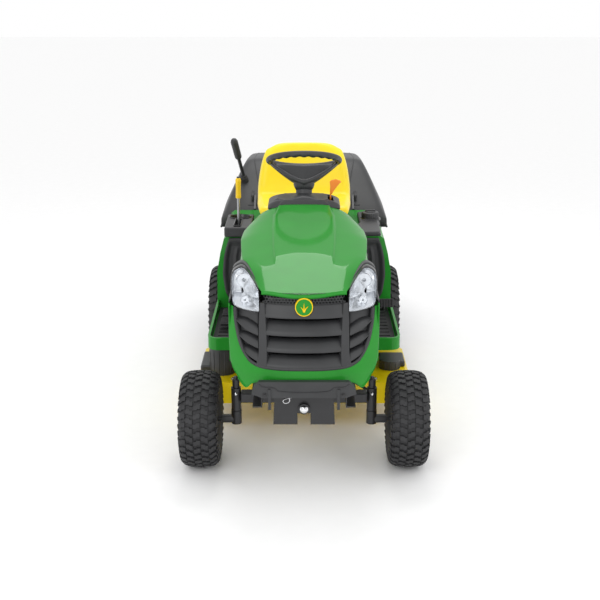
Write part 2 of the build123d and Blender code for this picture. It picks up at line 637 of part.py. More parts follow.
def blade(side):
    """Cutting blade with lifted tips, its spindle and the toothed pulley on top."""
    x = side * BLADE_X
    bar = block(x - BLADE_R, x + BLADE_R, BLADE_Y - 26, BLADE_Y + 26, 128, 133)
    for end in (-1, 1):
        x0 = x + end * BLADE_R - 70 * (end > 0)
        edge_y = BLADE_Y + end * 26
        bar += block(x0, x0 + 70, edge_y - 6, edge_y + 6, 128, 148)
    spindle = rod((x, BLADE_Y, 122), (x, BLADE_Y, 254), 10) + rod((x, BLADE_Y, 120), (x, BLADE_Y, 128), 18)
    pulley = rod((x, BLADE_Y, 222), (x, BLADE_Y, 246), 42) + rod((x, BLADE_Y, 221), (x, BLADE_Y, 224), 48)
    return bar + spindle + pulley


def deck_belt():
    return belt_loop([(-BLADE_X, BLADE_Y, 42.4), (BLADE_X, BLADE_Y, 42.4)], 236, 14.0, 5.0)


def discharge_chute():
    low = [(868, 100), (1130, 350), (1436, 396)]
    high = [(868, 230), (1130, 520), (1436, 566)]
    outer = prism_yz(low + high[::-1], CHUTE_X0, CHUTE_X1)
    floor = [(y + d, z + 5) for (y, z), d in zip(low, (-2, 0, 2))]
    ceiling = [(y + d, z - 5) for (y, z), d in zip(high, (-2, 0, 2))]
    inner = prism_yz(floor + ceiling[::-1], CHUTE_X0 + 5, CHUTE_X1 - 5)
    return outer - inner


def rear_plate():
    plate = block(-208, 208, 1437, 1443, 300, 600) - block(CHUTE_X0 + 5, CHUTE_X1 - 5, 1430, 1450, 400, 562)
    plate += block(-262, 262, 1424, 1438, 560, 604) - block(CHUTE_X0 - 1, CHUTE_X1 + 1, 1420, 1437, 380, 568)
    arm = prism_yz([(1424, 600), (1436, 600), (1438, 694), (1524, 742), (1528, 752), (1520, 762), (1506, 758),
                    (1424, 706)], 245, 255)
    pin = rod((245, *HOPPER_PIVOT), (272, *HOPPER_PIVOT), 6)
    drawbar = block(-60, 60, 1330, 1500, 222, 230) - rod((0, 1478, 215), (0, 1478, 240), 9.5)
    drawbar += block(-60, 60, 1440, 1446, 228, 305) + block(-60, 60, 1436, 1446, 296, 305)
    return plate + both(arm + pin) + drawbar


# ---- lift lever ----
def lift_lever():
    y, z = LEVER_PIVOT
    bar = rod((LEVER_X, y, z), (LEVER_X, y + 17, z + 368), 6.5)
    shaft = rod((LEVER_X - 12, y, z), (-205, y, z), 11)
    arm = prism_yz([(y - 10, z + 8), (y + 10, z + 8), (y + 8, z - 90), (y - 8, z - 90)], -228, -220)
    return bar + shaft + arm


def lift_grip():
    y, z = LEVER_PIVOT
    grip = rod((LEVER_X, y + 13, z + 290), (LEVER_X, y + 17, z + 384), 13)
    return grip - rod((LEVER_X, y, z), (LEVER_X, y + 17, z + 368), 6.5)


# ---- seat ----
def seat_bracket():
    """Hinged pan under the seat, with slide rails and a lug at the front pin."""
    py, pz = SEAT_PIVOT
    pan = block(-120, 120, py + 18, py + 300, pz + 2, pz + 8)
    lug = rod((100, py, pz), (112, py, pz), 12) + block(100, 112, py, py + 30, pz - 4, pz + 8)
    rail = block(84, 104, py + 20, py + 300, pz + 8, pz + 18)
    solid = pan + both(lug) + both(rail)
    return solid - rod((-130, py, pz), (130, py, pz), 6 + RUN)


def seat_mount():
    py, pz = SEAT_PIVOT
    ear = block(116, 124, py - 14, py + 14, FENDER_TOP, pz + 12)
    pin = rod((-130, py, pz), (130, py, pz), 6)
    return both(ear) + pin


def seat_springs():
    """Two support springs and rubber stops under the seat pan."""
    py, pz = SEAT_PIVOT
    coil = rod((70, py + 230, FENDER_TOP + 0.3), (70, py + 230, pz + 1.7), 22)
    return both(coil)


def seat_side(inset):
    return [(944 + inset, 752 + inset), (950 + inset, 800 - inset), (1190, 812 - inset), (1250 - inset, 860),
            (1296 - inset, 1040), (1322, 1056 - inset), (1352 - inset, 1040), (1350 - inset, 820),
            (1320 - inset, 760 + inset)]


def seat_shell():
    return block(-190, 190, 960, 1330, 741, 751.7, 4)


def seat_cushion():
    """One-piece vinyl bucket seat: cushion, side bolsters and a tall back that narrows upwards."""
    body = prism_yz(seat_side(0), -226, 226)
    front_view = [(0, 752), (190, 752), (224, 780), (226, 830), (206, 930), (182, 1030), (160, 1056),
                  (0, 1056)]
    return body & prism_xz(mirrored(front_view), 900, 1400)


# ---- grass hopper ----
def hopper_section(y, bottom, shoulder, top, half_low, half_top):
    pts = [(half_low, bottom), (half_low, shoulder), (half_top, top - 12), (half_top - 26, top)]
    return [(x, y, z) for x, z in pts] + [(-x, y, z) for x, z in reversed(pts)]


def hopper_cover():
    wall = 5.0
    stations = [(HOPPER_Y0, 674, 423, 412), (1600, 790, 426, 362), (1750, 905, 428, 308),
                (HOPPER_Y1, 880, 420, 306)]
    outer = skin_loft([hopper_section(y, 606, 650, top, low, half) for y, top, low, half in stations])
    sections = []
    for y, top, low, half in stations:
        inside_y = min(max(y, HOPPER_Y0 + wall), HOPPER_Y1 - wall)
        sections.append(hopper_section(inside_y, 600, 648, top - 7, low - wall, half - wall))
    inner = skin_loft(sections)
    py, pz = HOPPER_PIVOT
    lug = prism_yz([(py - 8, pz - 46), (py + 60, pz + 14), (py + 6, pz + 12), (py - 12, pz - 2)], 258, 270)
    lug -= rod((250, py, pz), (280, py, pz), 6 + RUN)
    shell = outer - inner
    socket = rod((-308, 1640, 790), (-322, 1622, 842), 24)
    shell += both(lug - inner) + socket
    return shell - rod((-300, 1652, 760), (-353, 1536, 1020), 9.5)


def hopper_frame():
    """Square-tube ring inside the bag's top edge, with two hoops down round the bag."""
    z, half = 590.0, 9.0
    x, y0, y1 = 392.0, 1512.0, 2088.0
    ring = block(-x - half, x + half, y0 - half, y1 + half, z - half, z + half)
    solid = ring - block(-x + half, x - half, y0 + half, y1 - half, z - 20, z + 20)
    for hoop in (-205, 205):
        low = block(hoop - 6, hoop + 6, y0 + 10, y1 - 36, 284, 296)
        front = prism_yz([(y0 - 6, z), (y0 + 6, z), (y0 + 22, 284), (y0 + 10, 284)], hoop - 6, hoop + 6)
        rear = prism_yz([(y1 - 6, z), (y1 + 6, z), (y1 - 36, 284), (y1 - 48, 284)], hoop - 6, hoop + 6)
        solid += low + front + rear
    return solid + block(-380, 380, y0 - 3, y0 + 3, z + 6, 605.8)


def bag_ring(z, inset):
    """Plan of the bag at a height: it narrows towards the bottom."""
    drop = (600.0 - z) / 338.0
    x = 412 - 42 * drop - inset
    y0 = 1492 + 8 * drop + inset
    y1 = 2110 - 40 * drop - inset
    return [(-x, y0, z), (x, y0, z), (x - 4, y1, z), (-x + 4, y1, z)]


def hopper_bag():
    """Fabric box hung from the frame: open on top under the cover and at the front to the chute."""
    bag = skin_loft([bag_ring(262, 0), bag_ring(600, 0)]) - skin_loft([bag_ring(267, 5), bag_ring(612, 5)])
    return bag - block(-190, 190, 1480, 1540, 330, 620)


def hopper_lever():
    """Dump lever: a bar that slides in the cover's socket, with a ribbed grip."""
    bar = rod((-300, 1652, 760), (-353, 1536, 1020), 9.4)
    grip = rod((-341.8, 1560.5, 965), (-358.1, 1524.9, 1045), 15)
    return bar + grip


# ---- write every node ----
def main():
    green, front, lens, vents = hood_parts()
    consoles_right, consoles_left = control_consoles()
    nodes = {
        "chassis_frame": chassis_frame() + sector_stud(),
        "front_hitch_bracket": front_hitch_bracket(),
        "front_bumper": front_bumper(),
        "engine_block": engine_block(),
        "engine_shroud": engine_shroud(),
        "muffler": muffler(),
        "battery": battery(),
        "fuel_tank": fuel_tank(),
        "dash_tower": dash_tower() - dash_sockets(),
        "fender_deck": fender_deck(),
        "foot_mats": foot_mats(),
        "control_consoles": consoles_right + consoles_left,
        "transaxle": transaxle(),
        "rear_plate": rear_plate(),
        "discharge_chute": discharge_chute(),
        "drive_belt": drive_belt(),
        "seat_mount": seat_mount() + seat_springs(),
        "crank_pulleys": crank_pulleys(),
        "hood_shell": green,
        "grille": grille(front),
        "headlight_lenses": lens,
        "headlight_bowls": both(lamp_bowls()),
        "hood_side_vents": vents,
        "front_axle_beam": axle_beam(),
        "tie_rod": tie_rod(),
        "drag_link": drag_link(),
        "steering_wheel": steering_wheel(),
        "steering_shaft": steering_shaft(),
        "steering_sector": steering_sector(),
        "deck_shell": deck_shell(),
        "deck_covers": deck_covers(),
        "deck_belt": deck_belt(),
        "lift_lever": lift_lever(),
        "lift_grip": lift_grip(),
        "seat_bracket": seat_bracket(),
        "seat_shell": seat_shell(),
        "seat_cushion": seat_cushion(),
        "throttle_lever": throttle_lever(),
        "ignition_key": ignition_key(),
        "pto_knob": pto_knob(),
        "brake_pedal": brake_pedal(),
        "forward_pedal": travel_pedal(-330, 520, 392),
        "reverse_pedal": travel_pedal(-330, 640, 392),
        "fuel_cap": fuel_cap(),
        "hopper_frame": hopper_frame(),
        "hopper_cover": hopper_cover(),
        "hopper_bag": hopper_bag(),
        "hopper_lever": hopper_lever(),
    }
    for name, side in (("left", 1), ("right", -1)):
        nodes[f"knuckle_{name}"] = knuckle(side, 276 if side > 0 else 252)
        nodes[f"blade_{name}"] = blade(side)
        nodes[f"front_tyre_{name}"] = tyre(side, FRONT_R, FRONT_W, FRONT_RIM_R, FRONT_OUT, 0)
        nodes[f"front_rim_{name}"] = rim(side, FRONT_R, FRONT_W, FRONT_RIM_R, FRONT_OUT, 0, 4)
        nodes[f"rear_tyre_{name}"] = tyre(side, REAR_R, REAR_W, REAR_RIM_R, REAR_OUT, WHEELBASE)
        nodes[f"rear_rim_{name}"] = rim(side, REAR_R, REAR_W, REAR_RIM_R, REAR_OUT, WHEELBASE, 26)
    for name, shape in nodes.items():
        save(name, shape)


main()
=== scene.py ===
"""Looks of the riding mower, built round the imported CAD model.

Lengths in this script are millimetres, with y measured behind the front axle, and at() turns them
into the frame's metres. Pieces that follow a CAD node take their place and size from its box.
"""

import json
from math import cos, hypot, pi, radians, sin

import bmesh
import bpy
from mathutils import Matrix, Vector


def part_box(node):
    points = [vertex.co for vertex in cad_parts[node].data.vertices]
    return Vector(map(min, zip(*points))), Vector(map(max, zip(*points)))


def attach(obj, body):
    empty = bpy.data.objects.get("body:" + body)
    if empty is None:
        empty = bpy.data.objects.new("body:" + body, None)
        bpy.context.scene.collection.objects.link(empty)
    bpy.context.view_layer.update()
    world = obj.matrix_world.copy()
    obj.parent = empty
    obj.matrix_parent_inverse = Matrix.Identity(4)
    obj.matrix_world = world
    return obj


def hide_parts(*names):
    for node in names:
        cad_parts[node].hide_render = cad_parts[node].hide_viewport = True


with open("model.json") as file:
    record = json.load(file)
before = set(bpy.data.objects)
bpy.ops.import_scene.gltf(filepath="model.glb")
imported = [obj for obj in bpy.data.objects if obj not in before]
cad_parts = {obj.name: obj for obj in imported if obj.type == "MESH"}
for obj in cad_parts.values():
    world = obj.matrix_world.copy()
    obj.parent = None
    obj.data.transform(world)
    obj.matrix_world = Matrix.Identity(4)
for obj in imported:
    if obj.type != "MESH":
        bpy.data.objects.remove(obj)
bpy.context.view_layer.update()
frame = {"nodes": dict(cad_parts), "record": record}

MM = 0.001
AXLE_Y = (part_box("front_tyre_left")[0].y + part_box("front_tyre_left")[1].y) / 2


def at(x, y, z):
    """A point in metres from millimetres, y counted back from the front axle."""
    return Vector((x * MM, AXLE_Y + y * MM, z * MM))


# ---------------------------------------------------------------- camera, light, floor
CAMERA_HEIGHT = 1815.0
CAMERA_AHEAD = 3617.0        # in front of the front axle
CAMERA_PITCH = 17.56         # degrees below the horizon
FOCAL_IN_FRAMES = 1.6874     # focal length over the picture's width


def camera_and_lights():
    """A camera ahead of the mower, an even white world and three soft lamps."""
    scene = bpy.context.scene
    cam_data = bpy.data.cameras.new("camera")
    cam_data.sensor_width = 36.0
    cam_data.lens = 36.0 * FOCAL_IN_FRAMES
    cam_data.shift_x = -0.0067
    cam = bpy.data.objects.new("camera", cam_data)
    cam.location = at(0, -CAMERA_AHEAD, CAMERA_HEIGHT)
    cam.rotation_euler = (radians(90 - CAMERA_PITCH), 0, 0)
    scene.collection.objects.link(cam)
    scene.camera = cam
    world = bpy.data.worlds.new("studio")
    world.use_nodes = True
    world.node_tree.nodes["Background"].inputs["Color"].default_value = (1, 1, 1, 1)
    world.node_tree.nodes["Background"].inputs["Strength"].default_value = 1.0
    scene.world = world
    scene.view_settings.view_transform = "Standard"
    for name, where, wide, deep, power, aim in (
        ("key", (-1700, -3300, 2900), 2.0, 2.0, 34, (0, 300, 500)),
        ("fill", (2600, -1500, 2600), 2.0, 2.0, 14, (0, 300, 500)),
        ("top", (0, 2200, 3500), 1.5, 1.1, 26, (0, -60, 800)),
    ):
        light = bpy.data.lights.new(name, "AREA")
        light.shape = "RECTANGLE"
        light.size = wide
        light.size_y = deep
        light.energy = power
        lamp = bpy.data.objects.new(name, light)
        lamp.location = at(*where)
        lamp.rotation_euler = (at(*aim) - lamp.location).to_track_quat("-Z", "Y").to_euler()
        scene.collection.objects.link(lamp)


# ---------------------------------------------------------------- materials
def link(tree, a, out, b, into):
    """Joins one node's output to another's input."""
    tree.links.new(a.outputs[out], b.inputs[into])


def surface(name, color, rough, spread=0.06, blotch=14.0, grain=900.0, bump=0.12, depth=0.0004,
            rough_spread=0.06,
            **fixed):
    """A principled material: slow colour and roughness drift, and a fine surface grain."""
    mat = bpy.data.materials.new(name)
    mat.use_nodes = True
    tree = mat.node_tree
    shader = tree.nodes["Principled BSDF"]
    for socket, value in fixed.items():
        shader.inputs[socket.replace("_", " ")].default_value = value
    place = tree.nodes.new("ShaderNodeTexCoord")
    drift = tree.nodes.new("ShaderNodeTexNoise")
    drift.inputs["Scale"].default_value = blotch
    drift.inputs["Detail"].default_value = 5.0
    link(tree, place, "Object", drift, "Vector")
    ramp = tree.nodes.new("ShaderNodeValToRGB")
    ramp.color_ramp.elements[0].position = 0.3
    ramp.color_ramp.elements[1].position = 0.7
    ramp.color_ramp.elements[0].color = (*[c * (1 - spread) for c in color], 1)
    ramp.color_ramp.elements[1].color = (*[min(1, c * (1 + spread)) for c in color], 1)
    link(tree, drift, "Fac", ramp, "Fac")
    link(tree, ramp, "Color", shader, "Base Color")
    spanned = tree.nodes.new("ShaderNodeMapRange")
    spanned.inputs["To Min"].default_value = max(0.02, rough - rough_spread)
    spanned.inputs["To Max"].default_value = min(1.0, rough + rough_spread)
    link(tree, drift, "Fac", spanned, "Value")
    link(tree, spanned, "Result", shader, "Roughness")
    if bump:
        fine = tree.nodes.new("ShaderNodeTexNoise")
        fine.inputs["Scale"].default_value = grain
        fine.inputs["Detail"].default_value = 3.0
        link(tree, place, "Object", fine, "Vector")
        dent = tree.nodes.new("ShaderNodeBump")
        dent.inputs["Strength"].default_value = bump
        dent.inputs["Distance"].default_value = depth
        link(tree, fine, "Fac", dent, "Height")
        link(tree, dent, "Normal", shader, "Normal")
    return mat


GREEN = (0.022, 0.255, 0.026)
YELLOW = (0.90, 0.66, 0.0)
M = {
    "green_plastic": surface("green_plastic", GREEN, 0.36, spread=0.04, grain=500, bump=0.02,
                             Specular_IOR_Level=0.04, Coat_Weight=0.35, Coat_Roughness=0.07),
    "green_paint": surface("green_paint", GREEN, 0.34, bump=0.05, Specular_IOR_Level=0.25),
    "yellow_paint": surface("yellow_paint", YELLOW, 0.3, spread=0.04, bump=0.05, grain=400, Coat_Weight=0.3,
                            Coat_Roughness=0.1),
    "yellow_plastic": surface("yellow_plastic", (0.88, 0.58, 0.0), 0.35, spread=0.04, bump=0.05),
    "orange_plastic": surface("orange_plastic", (0.86, 0.24, 0.02), 0.35, spread=0.05, bump=0.05),
    "black_plastic": surface("black_plastic", (0.030, 0.031, 0.033), 0.46, spread=0.14, grain=1500, bump=0.25,
                             depth=0.0003),
    "black_gloss": surface("black_gloss", (0.018, 0.018, 0.020), 0.2, spread=0.1, bump=0.02),
    "black_steel": surface("black_steel", (0.022, 0.022, 0.024), 0.36, spread=0.15, grain=700, bump=0.15),
    "grey_steel": surface("grey_steel", (0.42, 0.43, 0.44), 0.34, spread=0.08, grain=600, bump=0.1,
                          Metallic=0.9),
    "steel": surface("steel", (0.60, 0.60, 0.62), 0.25, spread=0.06, grain=900, bump=0.1, Metallic=1.0),
    "reflector": surface("reflector", (0.84, 0.85, 0.87), 0.2, spread=0.03, blotch=60, bump=0.0,
                         rough_spread=0.06,
                         Metallic=0.72),
    "chrome": surface("chrome", (0.86, 0.87, 0.88), 0.08, spread=0.02, bump=0.0, rough_spread=0.03,
                      Metallic=1.0),
    "tyre": surface("tyre", (0.021, 0.021, 0.023), 0.62, spread=0.25, blotch=30, grain=1300, bump=0.3,
                    depth=0.0005),
    "rubber": surface("rubber", (0.022, 0.022, 0.023), 0.7, spread=0.2, grain=1100, bump=0.3),
    "seat_vinyl": surface("seat_vinyl", (0.93, 0.71, 0.0), 0.38, spread=0.03, grain=420, bump=0.22,
                          depth=0.0005,
                          Sheen_Weight=0.1),
    "engine_alloy": surface("engine_alloy", (0.24, 0.24, 0.25), 0.5, spread=0.15, grain=260, bump=0.35,
                            Metallic=0.8),
    "engine_cover": surface("engine_cover", (0.028, 0.028, 0.03), 0.5, spread=0.15, bump=0.25),
    "battery_case": surface("battery_case", (0.04, 0.04, 0.045), 0.45, bump=0.2),
    "tank_plastic": surface("tank_plastic", (0.05, 0.05, 0.055), 0.45, bump=0.2),
}


def glass_material():
    """Clear lamp covers, a little uneven."""
    mat = bpy.data.materials.new("lens")
    mat.use_nodes = True
    shader = mat.node_tree.nodes["Principled BSDF"]
    shader.inputs["Base Color"].default_value = (0.96, 0.98, 1, 1)
    shader.inputs["Transmission Weight"].default_value = 1.0
    shader.inputs["IOR"].default_value = 1.12
    ribs = mat.node_tree.nodes.new("ShaderNodeTexNoise")
    ribs.inputs["Scale"].default_value = 40.0
    span = mat.node_tree.nodes.new("ShaderNodeMapRange")
    span.inputs["To Min"].default_value = 0.02
    span.inputs["To Max"].default_value = 0.08
    link(mat.node_tree, ribs, "Fac", span, "Value")
    link(mat.node_tree, span, "Result", shader, "Roughness")
    return mat


def mesh_fabric():
    """Coated mesh cloth: two crossed sets of fine threads."""
    mat = surface("bag_fabric", (0.022, 0.022, 0.024), 0.75, spread=0.2, bump=0.0)
    tree = mat.node_tree
    place = tree.nodes.new("ShaderNodeTexCoord")
    dents = None
    for axis in ("X", "Z"):
        wave = tree.nodes.new("ShaderNodeTexWave")
        wave.bands_direction = axis
        wave.inputs["Scale"].default_value = 160.0
        link(tree, place, "Object", wave, "Vector")
        dent = tree.nodes.new("ShaderNodeBump")
        dent.inputs["Strength"].default_value = 0.5
        dent.inputs["Distance"].default_value = 0.0008
        link(tree, wave, "Fac", dent, "Height")
        if dents:
            link(tree, dents, "Normal", dent, "Normal")
        dents = dent
    link(tree, dents, "Normal", tree.nodes["Principled BSDF"], "Normal")
    return mat


M["lens"] = glass_material()
M["bag_fabric"] = mesh_fabric()


def dress_cad_nodes():
    """Gives every CAD node its slot's material and softens its edges."""
    slots = {part["node"]: part["material_slot"] for part in frame["record"]["subparts"]}
    for name, obj in frame["nodes"].items():
        obj.data.materials.clear()
        obj.data.materials.append(M[slots[name]])
        bevel = obj.modifiers.new("edge", "BEVEL")
        bevel.width = 0.004 if name in ("fender_deck", "deck_shell", "control_consoles") else 0.0014
        bevel.segments = 2
        bevel.limit_method = "ANGLE"
        bevel.angle_limit = radians(32)


# ---------------------------------------------------------------- mesh helpers
def piece(name, shape, body, material, replaces=(), angle=40.0):
    """A mesh object of (verts, faces) that rides on a body, with edges over angle degrees kept sharp."""
    verts, faces = shape
    mesh = bpy.data.meshes.new(name)
    mesh.from_pydata([tuple(v) for v in verts], [], faces)
    bm = bmesh.new()
    bm.from_mesh(mesh)
    bmesh.ops.remove_doubles(bm, verts=bm.verts, dist=1e-6)
    bmesh.ops.recalc_face_normals(bm, faces=bm.faces)
    for f in bm.faces:
        f.smooth = True
    for e in bm.edges:
        if len(e.link_faces) == 2 and e.calc_face_angle(0) > radians(angle):
            e.smooth = False
    bm.to_mesh(mesh)
    bm.free()
    obj = bpy.data.objects.new(name, mesh)
    bpy.context.scene.collection.objects.link(obj)
    obj.data.materials.append(M[material])
    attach(obj, body)
    if replaces:
        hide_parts(*replaces)
    return obj


def add_modifier(obj, kind, **settings):
    """A modifier with its settings."""
    mod = obj.modifiers.new(kind.lower(), kind)
    for key, value in settings.items():
        setattr(mod, key, value)
    return mod


def rounded(obj, width=2.0, segments=3, angle=30.0):
    """Bevels the edges over angle degrees, width in millimetres."""
    add_modifier(obj, "BEVEL", width=width * MM, segments=segments, limit_method="ANGLE",
                 angle_limit=radians(angle))
    for f in obj.data.polygons:
        f.use_smooth = True
    return obj


def thick(obj, depth):
    """Gives a skin its thickness, inwards."""
    add_modifier(obj, "SOLIDIFY", thickness=depth * MM, offset=-1)
    return obj


def subdivided(obj, levels=2):
    """Smooths a coarse cage."""
    add_modifier(obj, "SUBSURF", levels=levels, render_levels=levels)
    return obj


def grid(rows, close_u=False, close_v=False, caps=False):
    """Vertices and quads for rows of equally many points."""
    n = len(rows[0])
    verts = [p for row in rows for p in row]
    faces = []
    for r in range(len(rows) if close_v else len(rows) - 1):
        r2 = (r + 1) % len(rows)
        for c in range(n if close_u else n - 1):
            c2 = (c + 1) % n
            faces.append((r * n + c, r * n + c2, r2 * n + c2, r2 * n + c))
    if caps:
        faces.append(tuple(range(n))[::-1])
        faces.append(tuple(range((len(rows) - 1) * n, len(rows) * n)))
    return verts, faces


def joined(parts):
    """Several (verts, faces) in one."""
    verts, faces = [], []
    for v, f in parts:
        base = len(verts)
        verts += v
        faces += [tuple(i + base for i in face) for face in f]
    return verts, faces


def smooth_through(points, count):
    """Points along a Catmull-Rom curve through the given ones, evenly spaced by parameter."""
    out = []
    last = len(points) - 1
    for i in range(count):
        t = i / (count - 1) * last
        k = min(int(t), last - 1)
        u = t - k
        p = [points[max(0, min(last, k + j))] for j in (-1, 0, 1, 2)]
        out.append(tuple(
            0.5 * (2 * b + (c - a) * u + (2 * a - 5 * b + 4 * c - d) * u * u
                   + (3 * b - a - 3 * c + d) * u ** 3)
            for a, b, c, d in zip(*p)))
    return out


def between(table, t):
    """Value of a (position, value) table at t, straight between its entries."""
    if t <= table[0][0]:
        return table[0][1]
    for (t0, v0), (t1, v1) in zip(table, table[1:]):
        if t <= t1:
            u = (t - t0) / (t1 - t0)
            return v0 + (v1 - v0) * u
    return table[-1][1]


def eased(table, t, reach):
    """between(), averaged over a reach, so that its corners are round."""
    return sum(between(table, t + reach * (i / 4 - 1)) for i in range(9)) / 9


def ring_points(centre, axis, radius, count):
    """Points in metres on a circle about an axis."""
    axis = Vector(axis).normalized()
    side = axis.orthogonal().normalized()
    up = axis.cross(side)
    return [centre + side * radius * cos(2 * pi * i / count) + up * radius * sin(2 * pi * i / count)
            for i in range(count)]


def lathe(profile, centre, axis, count=64, closed=False):
    """(along, radius) points in mm turned about an axis through centre."""
    axis = Vector(axis).normalized()
    rows = [ring_points(centre + axis * a * MM, axis, max(r, 0.01) * MM, count) for a, r in profile]
    return grid(rows, close_u=True, close_v=closed, caps=not closed)


def tube(points, radius, count=12):
    """A round tube through points in metres, mitred at its corners."""
    rows = []
    for i, p in enumerate(points):
        before = points[max(0, i - 1)]
        after = points[min(len(points) - 1, i + 1)]
        axis = (after - before).normalized()
        r = radius[i] if isinstance(radius, (list, tuple)) else radius
        if i == 0:
            side = axis.orthogonal().normalized()
        side = (side - axis * side.dot(axis)).normalized()
        up = axis.cross(side)
        rows.append([p + (side * cos(2 * pi * k / count) + up * sin(2 * pi * k / count)) * r * MM
                     for k in range(count)])
    return grid(rows, close_u=True, caps=True)


def box_mesh(x0, x1, y0, y1, z0, z1):
    """A block between two corners."""
    c = [at(x, y, z) for z in (z0, z1) for y in (y0, y1) for x in (x0, x1)]
    return c, [(0, 2, 3, 1), (4, 5, 7, 6), (0, 1, 5, 4), (2, 6, 7, 3), (0, 4, 6, 2), (1, 3, 7, 5)]


def mirror_x(part):
    verts, faces = part
    return [Vector((-v.x, v.y, v.z)) for v in verts], [tuple(reversed(f)) for f in faces]


def both(part):
    """A part and its mirror image."""
    return joined([part, mirror_x(part)])


# ---------------------------------------------------------------- tyres and wheels
def tyre_profile(r, half, rim_r, base):
    """Half a tyre's section from the middle of the tread to the bead: (across, radius)."""
    t = r - base
    points = [(0, t), (half * 0.40, t - 1.5), (half * 0.68, t - 6), (half * 0.86, t - 17),
              (half * 0.96, t - 36),
              (half * 0.985, (t + rim_r) / 2 + 8), (half * 0.95, (t + rim_r) / 2 - 14),
              (half * 0.86, rim_r + 14),
              (half * 0.78, rim_r + 3), (half * 0.72, rim_r - 4)]
    return smooth_through(points, 40)


def along_profile(profile, s):
    """Point and outward normal at arc length s from the middle; negative s is the other side."""
    sign = 1 if s >= 0 else -1
    left = abs(s)
    for (a0, r0), (a1, r1) in zip(profile, profile[1:]):
        step = hypot(a1 - a0, r1 - r0)
        if left <= step:
            u = left / step
            na, nr = -(r1 - r0) / step, (a1 - a0) / step
            return sign * (a0 + (a1 - a0) * u), r0 + (r1 - r0) * u, sign * na, nr
        left -= step
    return sign * profile[-1][0], profile[-1][1], sign, 0.0


LUG = [(-0.50, -0.30), (-0.08, -0.30), (0.02, -0.46), (0.50, -0.46), (0.50, 0.14), (0.14, 0.14), (0.04, 0.34),
       (-0.50, 0.34)]


def tyre(name, node, rim_node, body, columns, around, lug_high):
    """A turf tyre: a round casing, columns of angled lugs across the tread and blocks on both shoulders."""
    low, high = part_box(node)
    centre = (low + high) / 2
    r = (high.z - low.z) / 2 / MM
    half = (high.x - low.x) / 2 / MM
    rim_low, rim_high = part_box(rim_node)
    rim_r = (rim_high.z - rim_low.z) / 2 / MM
    profile = tyre_profile(r, half, rim_r, lug_high)
    full = [(-a, b) for a, b in reversed(profile)] + profile[1:]
    inner = [(a * 0.88, b - 9) for a, b in reversed(full)]
    body_mesh = lathe(full + inner, centre, (1, 0, 0), 96, closed=True)

    def placed(s, turn, rise):
        a, b, na, nr = along_profile(profile, s)
        a += na * rise
        b += nr * rise
        return centre + Vector((a, b * sin(turn), b * cos(turn))) * MM

    pitch = 2 * pi / around
    tread = half * 0.93
    wide = 2 * tread / columns
    lugs = []
    for column in range(columns):
        middle = -tread + (column + 0.5) * wide
        flip = 1 if column % 2 else -1
        for k in range(around):
            turn = (k + 0.5 * (column % 2)) * pitch
            outline = [(middle + flip * u * wide * 0.9, turn + v * pitch * 0.86) for u, v in LUG]
            top = [placed(s * 0.995, t, lug_high) for s, t in outline]
            foot = [placed(s, t, -1.0) for s, t in outline]
            lugs.append(grid([foot, top], close_u=True))
            n = len(top)
            split = [(0, 1, 6, 7), (1, 2, 5, 6), (2, 3, 4, 5)]
            lugs[-1] = (lugs[-1][0], lugs[-1][1] + [tuple(i + n for i in f) for f in split])
    shoulder = []
    for side in (-1, 1):
        for k in range(around):
            turn = (k + (0.25 if side > 0 else 0.75)) * pitch
            outline = [(tread + 1, -0.26), (tread + 26, -0.16), (tread + 30, 0.02), (tread + 26, 0.18),
                       (tread + 1, 0.26)]
            top = [placed(side * s, turn + v * pitch, lug_high * (1 - 0.55 * (i in (1, 2, 3)))) for i,
                   (s, v) in
                   enumerate(outline)]
            foot = [placed(side * s, turn + v * pitch, -1.0) for s, v in outline]
            part = grid([foot, top], close_u=True)
            shoulder.append((part[0], part[1] + [tuple(range(5, 10))]))
    obj = piece(name, joined([body_mesh] + lugs + shoulder), body, "tyre", replaces=(node,), angle=34)
    add_modifier(obj, "BEVEL", width=0.9 * MM, segments=1, limit_method="ANGLE", angle_limit=radians(40))


def wheel_trim(name, rim_node, body, side):
    """Hub cap, wheel nuts' flange and valve stem on the outside of a wheel."""
    low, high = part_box(rim_node)
    centre = (low + high) / 2
    out = (high.x if side > 0 else low.x)
    axis = Vector((side, 0, 0))
    face = Vector((out, centre.y, centre.z))
    dome = [(-16, 27), (-4, 27), (0, 25), (5, 18), (7, 9), (8, 0.1)]
    piece(name + "_cap", lathe(dome, face, axis, 40), body, "black_plastic")
    stem_at = centre + Vector((side * (abs(out - centre.x) - 0.012), 0.0, (high.z - centre.z) * 0.72))
    stem = [stem_at, stem_at + Vector((side * 0.016, 0, -0.004)), stem_at + Vector((side * 0.026, 0, -0.006))]
    piece(name + "_valve", tube(stem, [5, 4, 3.4], 12), body, "rubber")


def wheels():
    """Four tyres with their trims."""
    for side, word in ((1, "left"), (-1, "right")):
        tyre(f"front_tyre_{word}_tread", f"front_tyre_{word}", f"front_rim_{word}", f"{word}_front_wheel", 5,
             34, 7.5)
        tyre(f"rear_tyre_{word}_tread", f"rear_tyre_{word}", f"rear_rim_{word}", f"{word}_rear_wheel", 6, 36,
             9.0)
        wheel_trim(f"front_hub_{word}", f"front_rim_{word}", f"{word}_front_wheel", side)
        wheel_trim(f"rear_hub_{word}", f"rear_rim_{word}", f"{word}_rear_wheel", side)


# ---------------------------------------------------------------- nose and hood
NOSE_TIP = -262.0            # y of the nose at its middle
NOSE_HALF = 284.0            # half its width
NOSE_SWEEP = 130.0           # how far back its sides lie
NOSE_FOOT = 460.0            # height above which it leans back
NOSE_LEAN = 0.19


